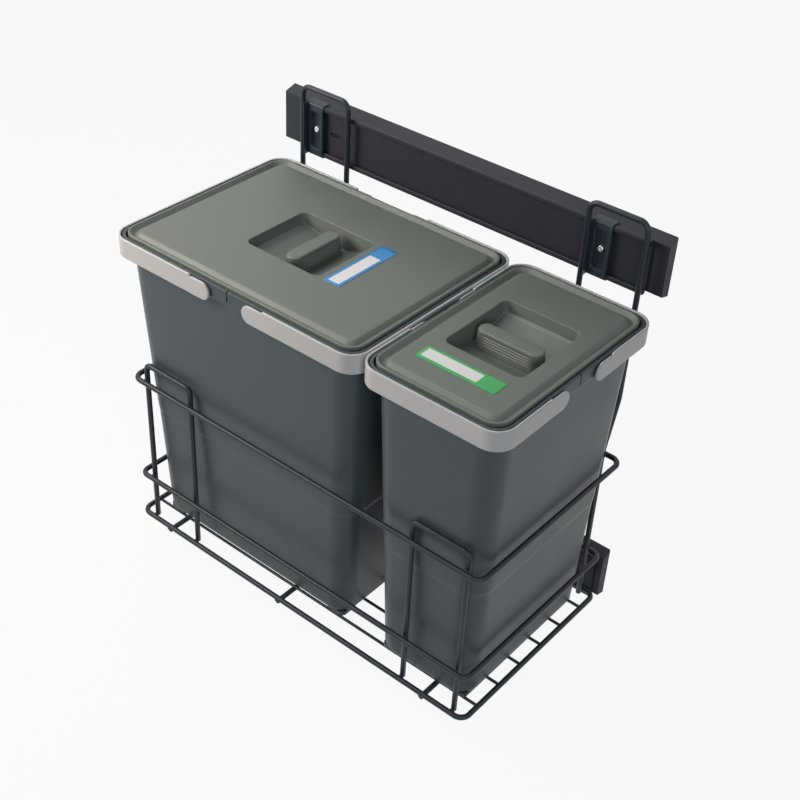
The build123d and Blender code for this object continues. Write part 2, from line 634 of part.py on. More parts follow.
def lid(length, width):
    # Rolled edge, gutter and raised panel, skirt inside the rim, recess and grip bar
    skirt_inset = RIM_INSET + RIM_WALL + LID_SKIRT_GAP
    skirt_corner = LID_CORNER - (skirt_inset - LID_INSET)
    skirt_bottom = LID_BOTTOM - LID_SKIRT_DEPTH
    gutter_floor = LID_TOP - LID_GUTTER_DEPTH
    shape = drawn(length, width, LID_INSET, LID_CORNER, (LID_BOTTOM, LID_TOP))
    shape += drawn(length, width, skirt_inset, skirt_corner, (skirt_bottom, LID_BOTTOM))
    hollow = (skirt_inset + LID_SKIRT, skirt_corner - LID_SKIRT)
    shape -= drawn(length, width, *hollow, (skirt_bottom, gutter_floor - LID_SKIN))
    roll_corner = LID_CORNER - LID_ROLL
    shape -= drawn(length, width, LID_INSET + LID_ROLL, roll_corner, (gutter_floor, LID_TOP + OVERRUN))
    panel = outline(length, width, LID_PANEL_INSET, LID_PANEL_CORNER, LID_PANEL)
    shape += extrude(panel, amount=-(LID_PANEL - gutter_floor), taper=-LID_PANEL_SLOPE)
    under = (gutter_floor - LID_SKIN, LID_PANEL - LID_SKIN)
    shape -= drawn(length, width, LID_PANEL_INSET, LID_PANEL_CORNER, under)
    shape += recess_well(LID_SKIN)
    shape -= recess_well(0)
    rise = RECESS_DEPTH - GRIP_DROP
    grip = RectangleRounded(GRIP_WIDTH, GRIP_LENGTH, GRIP_CORNER)
    return shape + Pos(0, 0, LID_PANEL - GRIP_DROP) * extrude(grip, amount=-rise, taper=-GRIP_ANGLE)


def label(place):
    # Blank label plate on the lid's panel
    plate = extrude(RectangleRounded(LABEL_WIDTH, LABEL_LENGTH, LABEL_CORNER), amount=LABEL_SHEET)
    return Pos(*place, LID_PANEL) * plate


def write_slide(name, height):
    at = Pos(0, 0, height)
    shift = COVER_SHIFTS[name]
    wall_cage = (WALL_TRACK_Y, WALL_CAGE_CENTRE, WALL_CAGE_LENGTH, WALL_BALL_COUNT)
    basket_cage = (BASKET_TRACK_Y, BASKET_CAGE_CENTRE, BASKET_CAGE_LENGTH, BASKET_BALL_COUNT)
    save(f"{name}_wall_rail", at * wall_rail())
    save(f"{name}_closing_buffer", at * closing_buffer(shift))
    save(f"{name}_slide_cover", at * cover(shift))
    save(f"{name}_raceways", at * raceways(shift))
    save(f"{name}_wall_side_cage", at * cage(*wall_cage))
    save(f"{name}_wall_side_balls", at * balls(*wall_cage))
    save(f"{name}_basket_side_cage", at * cage(*basket_cage))
    save(f"{name}_basket_side_balls", at * balls(*basket_cage))
    save(f"{name}_slider", at * slider())
    save(f"{name}_channel", at * channel())
    outside = BRACKET_INSIDE + BRACKET_SHEET
    leg_y, flange_low = (HOOK_Y, -outside)
    if name == "lower":
        leg_y, flange_low = (REAR_LEG_Y, BASKET_Z + WIRE / 2 + WELD_SEAT - height)
    for side in HOOP_PLACES:
        save(f"{name}_{side}_bracket", at * bracket(side, leg_y, flange_low))
    save(f"{name}_bracket_screws", at * Compound([bracket_screw(side) for side in HOOP_PLACES]))


def write_basket():
    for name in RING_HEIGHTS:
        save(name, ring(name))
    for side in HOOP_PLACES:
        save(f"{side}_front_hoop", front_hoop(side))
        save(f"{side}_rear_hook", rear_hook(side))
    save("cross_wires", Compound([cross_wire(place) for place in CROSS_WIRE_PLACES]))
    save("floor_wires", floor_wires())


def write_bin(name, length, width, at, label_place):
    save(f"{name}_bin", at * bin_body(name, length, width))
    save(f"{name}_lid", at * lid(length, width))
    save(f"{name}_lid_label", at * label(label_place))
    save(f"{name}_label_end_bail", at * bail(length, width))
    save(f"{name}_plain_end_bail", at * Rot(0, 0, 180) * bail(length, width))


for slide_name, slide_height in SLIDES.items():
    write_slide(slide_name, slide_height)
write_basket()
large_place = Pos(LARGE_CENTRE_X, BASKET_CENTRE_Y, BIN_Z)
small_place = Pos(SMALL_CENTRE_X, BASKET_CENTRE_Y, BIN_Z) * Rot(0, 0, SMALL_TURN)
write_bin("large", LARGE_LENGTH, BIN_WIDTH, large_place, LARGE_LABEL_PLACE)
write_bin("small", BIN_WIDTH, SMALL_LENGTH, small_place, SMALL_LABEL_PLACE)
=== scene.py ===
"""Looks of a pull-out bin frame: wire basket on two telescopic slides, with two lidded bins."""
from __future__ import annotations

import logging
import math
from dataclasses import dataclass, field
from enum import Enum

import bmesh
import bpy
import numpy as np
from mathutils import Matrix, Vector

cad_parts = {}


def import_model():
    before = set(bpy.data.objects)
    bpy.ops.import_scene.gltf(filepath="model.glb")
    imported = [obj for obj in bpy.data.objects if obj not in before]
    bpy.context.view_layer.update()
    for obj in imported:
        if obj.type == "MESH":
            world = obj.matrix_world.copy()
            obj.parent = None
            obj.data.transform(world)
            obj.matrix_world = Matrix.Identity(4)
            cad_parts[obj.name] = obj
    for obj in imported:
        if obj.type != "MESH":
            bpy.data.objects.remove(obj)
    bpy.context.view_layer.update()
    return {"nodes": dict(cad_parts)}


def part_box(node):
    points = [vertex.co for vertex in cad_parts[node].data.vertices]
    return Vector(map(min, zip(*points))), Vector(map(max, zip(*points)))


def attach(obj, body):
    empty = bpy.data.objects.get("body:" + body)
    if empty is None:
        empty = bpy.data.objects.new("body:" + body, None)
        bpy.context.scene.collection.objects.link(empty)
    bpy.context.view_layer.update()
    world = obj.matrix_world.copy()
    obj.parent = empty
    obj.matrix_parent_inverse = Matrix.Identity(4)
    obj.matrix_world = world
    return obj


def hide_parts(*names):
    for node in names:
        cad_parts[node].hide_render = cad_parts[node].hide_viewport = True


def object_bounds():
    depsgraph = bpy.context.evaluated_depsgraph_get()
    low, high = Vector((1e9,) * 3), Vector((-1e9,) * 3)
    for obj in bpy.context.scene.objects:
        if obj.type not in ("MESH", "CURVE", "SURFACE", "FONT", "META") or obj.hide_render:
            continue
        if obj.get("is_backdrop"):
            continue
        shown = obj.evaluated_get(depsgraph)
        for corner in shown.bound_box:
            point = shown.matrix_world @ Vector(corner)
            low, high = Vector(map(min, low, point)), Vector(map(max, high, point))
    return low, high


LOG = logging.getLogger("bin_frame")
MM = 0.001


# Plain helpers

def linear(code: str) -> tuple[float, float, float, float]:
    """Turn an sRGB hex colour to linear red, green, blue and alpha.

    Args:
        code: six hex digits with a leading hash.

    Returns:
        The linear colour with alpha 1.
    """
    parts = [int(code[i:i + 2], 16) / 255 for i in (1, 3, 5)]
    flat = [c / 12.92 if c <= 0.04045 else ((c + 0.055) / 1.055) ** 2.4 for c in parts]
    return (*flat, 1.0)


def add_node(tree: bpy.types.NodeTree, kind: str, inputs: dict | None = None,
             **settings: object) -> bpy.types.Node:
    """Add a shader node, set its properties, and set or link its inputs.

    Args:
        tree: the node tree that gets the node.
        kind: Blender's node type without its first word, ShaderNode.
        inputs: input name or number to a value, or to the socket that feeds it.
        settings: the node's own properties.

    Returns:
        The new node.
    """
    node = tree.nodes.new("ShaderNode" + kind)
    for key, value in settings.items():
        setattr(node, key, value)
    for key, value in (inputs or {}).items():
        if isinstance(value, bpy.types.NodeSocket):
            tree.links.new(value, node.inputs[key])
        else:
            node.inputs[key].default_value = value
    return node


def cleared(owner: bpy.types.Material | bpy.types.World) -> bpy.types.NodeTree:
    """Empty the node tree of a new material or world.

    Args:
        owner: the material or world.

    Returns:
        Its node tree.
    """
    owner.use_nodes = True
    owner.node_tree.nodes.clear()
    return owner.node_tree


def linked(name: str, data: bpy.types.ID) -> bpy.types.Object:
    """Make an object and link it to the scene.

    Args:
        name: the object's name.
        data: its mesh, lamp or camera.

    Returns:
        The object.
    """
    made = bpy.data.objects.new(name, data)
    bpy.context.scene.collection.objects.link(made)
    return made


@dataclass(frozen=True)
class Span:
    """Lowest and highest corner of CAD nodes at rest, in millimetres."""

    low: np.ndarray
    high: np.ndarray

    @classmethod
    def of(cls, *nodes: str) -> Span:
        """Read the box around one or more nodes from the frame."""
        boxes = [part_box(node) for node in nodes]
        low = np.min([np.array(box[0]) for box in boxes], axis=0)
        high = np.max([np.array(box[1]) for box in boxes], axis=0)
        return cls(low / MM, high / MM)

    @property
    def centre(self) -> np.ndarray:
        """The box's middle."""
        return (self.low + self.high) / 2

    @property
    def size(self) -> np.ndarray:
        """The box's three lengths."""
        return self.high - self.low

    def ends(self, axis: int, inset: float) -> tuple[float, float]:
        """The box's two ends along an axis, moved inwards."""
        return self.low[axis] + inset, self.high[axis] - inset


# Surfaces

@dataclass
class Shell:
    """Points in millimetres and faces of one or more closed surfaces."""

    points: np.ndarray = field(default_factory=lambda: np.zeros((0, 3)))
    faces: list[list[int]] = field(default_factory=list)
    tints: list[int] = field(default_factory=list)

    def add(self, other: Shell, tint: int = 0) -> Shell:
        """Append a copy of another shell.

        Args:
            other: the shell to copy in.
            tint: material slot number of its faces.

        Returns:
            This shell.
        """
        start = len(self.points)
        self.points = np.vstack([self.points, other.points])
        self.faces += [[start + i for i in face] for face in other.faces]
        self.tints += [tint] * len(other.faces)
        return self

    def placed(self, matrix: np.ndarray, offset: np.ndarray) -> Shell:
        """A copy turned by a 3 by 3 matrix and then shifted."""
        return Shell(self.points @ matrix.T + offset, self.faces, self.tints)


def grid_shell(grid: np.ndarray, loop_rows: bool = False, skip: np.ndarray | None = None) -> Shell:
    """Join a grid of points by quads; the last column meets the first.

    Row i and column j make the quad (i, j), (i, j+1), (i+1, j+1), (i+1, j). Unless the rows
    loop, one face closes the first row and one the last.

    Args:
        grid: array of rows by columns by 3.
        loop_rows: True where the last row meets the first.
        skip: mask of the quads to leave out, or None.

    Returns:
        The shell.
    """
    rows, columns = grid.shape[:2]
    index = np.arange(rows * columns).reshape(rows, columns)
    right, down = np.roll(index, -1, axis=1), np.roll(index, -1, axis=0)
    quads = np.stack([index, right, np.roll(down, -1, axis=1), down], axis=-1)
    if not loop_rows:
        quads = quads[:-1]
    quads = quads.reshape(-1, 4) if skip is None else quads[~skip]
    caps = [] if loop_rows else [index[0].tolist(), index[-1].tolist()]
    return Shell(grid.reshape(-1, 3), quads.tolist() + caps, [0] * (len(quads) + len(caps)))


def unit(vectors: np.ndarray) -> np.ndarray:
    """The vectors, each divided by its length."""
    return vectors / np.linalg.norm(vectors, axis=-1, keepdims=True)


def normals(line: np.ndarray) -> np.ndarray:
    """Unit directions square to a flat line, on its right."""
    ahead = unit(np.gradient(line, axis=0))
    return np.stack([ahead[:, 1], -ahead[:, 0]], axis=1)


def rounded_line(points: list[tuple[float, ...]], radii: list[float], steps: int = 5) -> np.ndarray:
    """Round the inner corners of an open line with circular arcs.

    Each arc touches the corner's two sides, at the radius over the tangent of half the angle
    between them, or at just under half a side where that is less. Its points turn evenly
    from one touching point to the other about the arc's centre.

    Args:
        points: the line's corners, in two or more dimensions.
        radii: one radius for each inner corner; zero keeps it sharp.
        steps: spans along each arc.

    Returns:
        Array of points.
    """
    corners = np.array(points, float)
    t = np.linspace(0, 1, steps + 1)[:, None]
    out = [corners[:1]]
    for i, radius in enumerate(radii, start=1):
        here = corners[i]
        back, ahead = corners[i - 1] - here, corners[i + 1] - here
        long_back, long_ahead = np.linalg.norm(back), np.linalg.norm(ahead)
        back, ahead = back / long_back, ahead / long_ahead
        half = math.acos(float(np.clip(back @ ahead, -1, 1))) / 2
        if radius <= 0 or half > math.pi / 2 - 1e-3:
            out.append(here[None])
            continue
        reach = min(radius / math.tan(half), 0.49 * long_back, 0.49 * long_ahead)
        middle = here + (back + ahead) / np.linalg.norm(back + ahead) * reach / math.cos(half)
        turn = math.pi - 2 * half
        a, b = here + back * reach - middle, here + ahead * reach - middle
        out.append(middle + (np.sin((1 - t) * turn) * a + np.sin(t * turn) * b) / math.sin(turn))
    out.append(corners[-1:])
    return np.vstack(out)


# Places along a straight side that carry points: few on a plain wall, more round the lid
SIDE_SHARES = np.linspace(0, 1, 8)[1:-1]
LID_SHARES = np.linspace(0, 1, 26)[1:-1]
# Spans in each corner of the lid's rows
LID_TURNS = 10


def oblongs(rows: np.ndarray, shares: np.ndarray = SIDE_SHARES, turns: int = 10) -> np.ndarray:
    """Rounded rectangles, one for each row.

    A quarter circle stands in each corner, and the straight sides between carry points at the
    given shares of their length, so that all rows have matching columns. The columns run
    counter-clockwise: corner (+,+), side +Y, corner (-,+), side -X and so on.

    Args:
        rows: half length, half width, corner radius, height, centre x and centre y of each.
        shares: places along a straight side, between 0 and 1.
        turns: spans in each corner.

    Returns:
        Grid of rows by columns by 3.
    """
    half, radius = rows[:, None, 0:2], rows[:, None, 2:3]
    inner = half - radius
    angle = np.linspace(0, np.pi / 2, turns + 1)
    signs = np.array([(1, 1), (-1, 1), (-1, -1), (1, -1)])
    parts = []
    for quarter in range(4):
        turn = (angle + quarter * np.pi / 2)[None, :, None]
        arc = inner * signs[quarter] + radius * np.concatenate([np.cos(turn), np.sin(turn)], axis=2)
        end = (quarter + 1) * np.pi / 2
        following = inner * signs[(quarter + 1) % 4] + radius * np.array([np.cos(end), np.sin(end)])
        side = arc[:, -1:] + (following - arc[:, -1:]) * shares[None, :, None]
        parts += [arc, side]
    flat = np.concatenate(parts, axis=1) + rows[:, None, 4:6]
    height = np.broadcast_to(rows[:, 3, None, None], (*flat.shape[:2], 1))
    return np.concatenate([flat, height], axis=2)


def rim_rows(length: float, width: float, profile: np.ndarray) -> np.ndarray:
    """Rows for oblongs() from a profile carried round a rectangle.

    Args:
        length: the rectangle's length along X.
        width: its width along Y.
        profile: inset, height and corner radius of each point.

    Returns:
        Array of rows by 6.
    """
    inset, height, corner = profile.T
    zero = np.zeros(len(profile))
    return np.stack([length / 2 - inset, width / 2 - inset, corner, height, zero, zero], axis=1)


def tube(path: np.ndarray, diameter: float, across: tuple[float, float, float],
         closed: bool = False) -> Shell:
    """Carry a circle along a path, with domed ends on an open one.

    The circle lies square to the path; its first axis is the given direction less its part
    along the path. Each end is a quarter ellipse: at the angle t from the tip, the circle is
    sin t of the full one and stands the dome's depth times 1 - cos t behind the tip.

    Args:
        path: points by 3.
        diameter: the tube's diameter.
        across: a direction that the path never runs along.
        closed: True where the path's last point meets its first.

    Returns:
        The tube.
    """
    sides, dome_share = 16, 0.22
    ahead = np.roll(path, -1, axis=0) - np.roll(path, 1, axis=0)
    if not closed:
        ahead[0], ahead[-1] = path[1] - path[0], path[-1] - path[-2]
    ahead = unit(ahead)
    radius = np.full(len(path), diameter / 2)
    if not closed:
        dome = np.radians([6.0, 22.0, 40.0, 60.0, 90.0])
        back = (diameter * dome_share * (1 - np.cos(dome)))[:, None]
        path = np.vstack([path[0] + ahead[0] * back, path[1:-1], (path[-1] - ahead[-1] * back)[::-1]])
        cap = np.ones((len(dome), 1))
        ahead = np.vstack([ahead[:1] * cap, ahead[1:-1], ahead[-1:] * cap])
        swell = np.sin(dome)
        radius = np.concatenate([swell, radius[1:-1] / (diameter / 2), swell[::-1]]) * diameter / 2
    guide = np.array(across, float)
    first = unit(guide - (ahead @ guide)[:, None] * ahead)
    second = np.cross(ahead, first)
    angle = np.linspace(0, 2 * np.pi, sides, endpoint=False)[None, :, None]
    ring = first[:, None] * np.cos(angle) + second[:, None] * np.sin(angle)
    return grid_shell(path[:, None] + ring * radius[:, None, None], loop_rows=closed)


def rod(start: tuple[float, ...], end: tuple[float, ...], diameter: float) -> Shell:
    """A straight level tube."""
    return tube(np.linspace(start, end, 3), diameter, (0, 0, 1))


def pebble(centre: np.ndarray, radii: tuple[float, float, float]) -> Shell:
    """An ellipsoid: circles of sin t at the height cos t, scaled by the three radii."""
    first, rings, columns = 0.25, 7, 10
    t = np.linspace(first, np.pi - first, rings)
    turn = np.linspace(0, 2 * np.pi, columns, endpoint=False)
    flat = np.sin(t)[:, None]
    grid = np.stack([flat * np.cos(turn), flat * np.sin(turn), np.cos(t)[:, None] + 0 * turn], axis=-1)
    return grid_shell(grid * np.array(radii) + centre)


def slab(low: np.ndarray, high: np.ndarray, edge: float) -> Shell:
    """A block with rounded edges.

    Args:
        low: its lowest corner.
        high: its highest corner.
        edge: radius of its level edges; the upright ones have half as much again.

    Returns:
        The block.
    """
    size, centre = high - low, (low + high) / 2
    face_share, corner_share, least_corner = 0.4, 1.5, 0.05
    deep = size[:2].min() * face_share
    line = [(deep, low[2]), (0.0, low[2]), (0.0, high[2]), (deep, high[2])]
    inset, height = rounded_line(line, [edge, edge], steps=4).T
    corner = np.clip(edge * corner_share - inset, least_corner, None)
    rows = rim_rows(size[0], size[1], np.stack([inset, height, corner], axis=1))
    return grid_shell(oblongs(rows + np.array([0, 0, 0, 0, centre[0], centre[1]]), np.zeros(0), turns=4))


def smooth(share: np.ndarray) -> np.ndarray:
    """Ease from 0 to 1 with level ends, held at both sides: 3 t squared less 2 t cubed."""
    t = np.clip(share, 0, 1)
    return t * t * (3 - 2 * t)


# Finishes

class Slot(Enum):
    """Names of material slots; each bin keeps the one of its label film, which nothing reads."""

    STEEL_BLACK = "steel_black"
    STEEL_INNER = "steel_inner"
    WIRE_COAT = "wire_coat"
    BRACKET_BLACK = "bracket_black"
    SCREW_ZINC = "screw_zinc"
    BALL_STEEL = "ball_steel"
    CAGE_PLASTIC = "cage_plastic"
    BUFFER_RUBBER = "buffer_rubber"
    BIN_PLASTIC = "bin_plastic"
    LID_PLASTIC = "lid_plastic"
    BAIL_PLASTIC = "bail_plastic"
    LABEL_BLUE = "label_blue"
    LABEL_GREEN = "label_green"


@dataclass(frozen=True)
class Finish:
    """A surface with faint patches of tone, a swing in gloss, and a fine relief."""

    name: str
    tone: str
    patch_tone: str
    patch_mm: float
    roughness: float
    roughness_swing: float
    relief_mm: float
    relief_depth_mm: float
    metallic: float = 0.0
    coat: float = 0.0
    coat_roughness: float = 0.1
    ior: float = 1.5
    stretch: tuple[float, float, float] = (1.0, 1.0, 1.0)

    def build(self) -> bpy.types.Material:
        """Make the material.

        Returns:
            The material, made of nodes.
        """
        material = bpy.data.materials.new(self.name)
        tree = cleared(material)
        place = add_node(tree, "TexCoord").outputs["Object"]
        place = add_node(tree, "Mapping", {"Vector": place, "Scale": self.stretch}).outputs[0]
        patches = add_node(tree, "TexNoise", {
            "Vector": place, "Scale": 1 / (self.patch_mm * MM), "Detail": 3.0}).outputs[0]
        colour = add_node(tree, "Mix", {
            0: patches, 6: linear(self.tone), 7: linear(self.patch_tone)}, data_type="RGBA")
        gloss = add_node(tree, "MapRange", {
            0: patches, 1: 0.3, 2: 0.7,
            3: self.roughness - self.roughness_swing, 4: self.roughness + self.roughness_swing})
        bump = add_node(tree, "Bump", {
            "Strength": 1.0, "Distance": self.relief_depth_mm * MM, "Height": self.relief(tree, place)})
        shader = add_node(tree, "BsdfPrincipled", {
            "Base Color": colour.outputs[2], "Roughness": gloss.outputs[0], "Normal": bump.outputs[0],
            "Metallic": self.metallic, "Coat Weight": self.coat, "Coat Roughness": self.coat_roughness,
            "IOR": self.ior})
        add_node(tree, "OutputMaterial", {"Surface": shader.outputs[0]})
        return material

    def relief(self, tree: bpy.types.NodeTree, place: bpy.types.NodeSocket) -> bpy.types.NodeSocket:
        """The height pattern behind the bump: noise at the relief's own scale."""
        return add_node(tree, "TexNoise", {
            "Vector": place, "Scale": 1 / (self.relief_mm * MM), "Detail": 2.0}).outputs[0]


@dataclass(frozen=True)
class MouldedPlastic(Finish):
    """Injection-moulded polypropylene: a spark-eroded mould leaves a pebbled satin skin."""

    def relief(self, tree: bpy.types.NodeTree, place: bpy.types.NodeSocket) -> bpy.types.NodeSocket:
        """Rounded cells of the mould's grain, softened by noise, drawn coarser than life."""
        scale = 1 / (self.relief_mm * MM)
        cells = add_node(tree, "TexVoronoi", {"Vector": place, "Scale": scale}, feature="SMOOTH_F1")
        soft = add_node(tree, "TexNoise", {"Vector": place, "Scale": scale * 0.5, "Detail": 3.0})
        return add_node(tree, "Mix", {
            0: 0.5, 2: cells.outputs[0], 3: soft.outputs[0]}, data_type="FLOAT").outputs[0]


@dataclass(frozen=True)
class RolledMetal(Finish):
    """Drawn or rolled metal: fine lines along the length from the rolls, under the plating."""

    def relief(self, tree: bpy.types.NodeTree, place: bpy.types.NodeSocket) -> bpy.types.NodeSocket:
        """Noise stretched 40 times along X."""
        along = add_node(tree, "Mapping", {"Vector": place, "Scale": (1 / 40, 1.0, 1.0)}).outputs[0]
        return add_node(tree, "TexNoise", {
            "Vector": along, "Scale": 1 / (self.relief_mm * MM), "Detail": 4.0}).outputs[0]


# Polypropylene, dark slate, moulded: satin walls that mirror the light softly
BIN_SKIN = MouldedPlastic(
    "polypropylene_slate", "#475156", "#4B555A", 60.0, 0.38, 0.03, 0.7, 0.02, ior=1.34)
# Polypropylene, green-grey, moulded: a duller top that hides fingermarks
LID_SKIN = MouldedPlastic(
    "polypropylene_green_grey", "#6B726C", "#707771", 50.0, 0.44, 0.03, 0.7, 0.025, ior=1.49)
# Polypropylene, pale grey, moulded in a polished tool: the glossiest plastic here
BAIL_SKIN = MouldedPlastic(
    "polypropylene_pale_grey", "#C2C3C4", "#C7C8C8", 40.0, 0.3, 0.03, 0.8, 0.01, ior=1.49)
# Epoxy powder coat over drawn wire: faint orange peel and a soft sheen
WIRE_SKIN = Finish("powder_coat_blue_black", "#1F2830", "#232D35", 30.0, 0.42, 0.03, 1.6, 0.02, ior=1.4)
# Stove enamel on pressed steel: smoother and duller than powder coat, a violet black
COVER_SKIN = Finish("stove_enamel_violet_black", "#292932", "#2D2D36", 45.0, 0.58, 0.04, 1.2, 0.015, ior=1.38)
# The same enamel, bluer and a little glossier, on the small pressings
BRACKET_SKIN = Finish("stove_enamel_blue_black", "#26313B", "#2A353F", 20.0, 0.42, 0.04, 1.2, 0.015, ior=1.42)
# Cold-rolled steel, zinc plated: bright, faintly lined, with cloudy patches
ZINC_SKIN = RolledMetal("zinc_plated_steel", "#9EA2A6", "#B4B7BA", 18.0, 0.34, 0.06, 0.6, 0.006, metallic=1.0)
# The same steel, phosphated black where it shows through the cover's slot
SLIDER_SKIN = RolledMetal("phosphated_steel", "#1D1E20", "#26272A", 14.0, 0.5, 0.06, 0.6, 0.006, metallic=0.6)
# Turned screw, bright zinc
SCREW_SKIN = Finish("bright_zinc", "#D8DADB", "#E4E5E5", 3.0, 0.22, 0.05, 0.5, 0.004, metallic=1.0)
# Through-hardened bearing steel, ground and polished
BALL_SKIN = Finish("bearing_steel", "#C9CACC", "#D2D3D4", 4.0, 0.12, 0.02, 0.8, 0.001, metallic=1.0)
# Natural acetal, moulded: milky and waxy
CAGE_SKIN = MouldedPlastic("natural_acetal", "#D9D8D0", "#E0DFD8", 12.0, 0.4, 0.03, 0.8, 0.008, ior=1.48)
# Nitrile rubber, moulded: matt black
RUBBER_SKIN = Finish("nitrile_rubber", "#1C1C1D", "#232324", 8.0, 0.72, 0.06, 0.9, 0.03)
# Printed vinyl film, gloss laminate: flat colour, no relief to speak of
BLUE_FILM = Finish("vinyl_film_blue", "#0088D2", "#0A8CD4", 30.0, 0.28, 0.02, 2.0, 0.004, coat=0.4)
GREEN_FILM = Finish("vinyl_film_green", "#12AE4A", "#1AB350", 30.0, 0.28, 0.02, 2.0, 0.004, coat=0.4)
WHITE_FILM = Finish("vinyl_film_white", "#EFF0F1", "#F4F4F5", 30.0, 0.3, 0.02, 2.0, 0.004, coat=0.4)


@dataclass
class Workshop:
    """Makes the pieces and keeps one material of each finish."""

    made: dict[str, bpy.types.Material] = field(default_factory=dict)

    def material(self, finish: Finish) -> bpy.types.Material:
        """The material of a finish, built on its first use."""
        if finish.name not in self.made:
            self.made[finish.name] = finish.build()
        return self.made[finish.name]

    def piece(self, name: str, shell: Shell, finishes: list[Finish], body: str,
              replaced: tuple[str, ...] = (), sharp: float = 32.0) -> bpy.types.Object:
        """Make an object of a shell and hang it on its body.

        Args:
            name: the piece's name.
            shell: its surface, in millimetres.
            finishes: one for each tint number of the shell.
            body: the CAD body that it moves with.
            replaced: CAD nodes that it stands for.
            sharp: angle in degrees past which an edge shows.

        Returns:
            The object, at the origin.
        """
        mesh = bpy.data.meshes.new(name)
        mesh.from_pydata((shell.points * MM).tolist(), [], shell.faces)
        mesh.polygons.foreach_set("material_index", shell.tints)
        work = bmesh.new()
        work.from_mesh(mesh)
        bmesh.ops.recalc_face_normals(work, faces=work.faces)
        work.to_mesh(mesh)
        work.free()
        mesh.polygons.foreach_set("use_smooth", [True] * len(mesh.polygons))
        mesh.set_sharp_from_angle(angle=math.radians(sharp))
        for finish in finishes:
            mesh.materials.append(self.material(finish))
        made = linked(name, mesh)
        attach(made, body)
        if replaced:
            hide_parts(*replaced)
        LOG.info("%s: %d faces on %s", name, len(mesh.polygons), body)
        return made

    def dress(self, node: bpy.types.Object, finish: Finish) -> None:
        """Give a CAD node its finish in every material slot."""
        node.data.materials.clear()
        node.data.materials.append(self.material(finish))
        LOG.info("%s: dressed in %s", node.name, finish.name)


# Basket

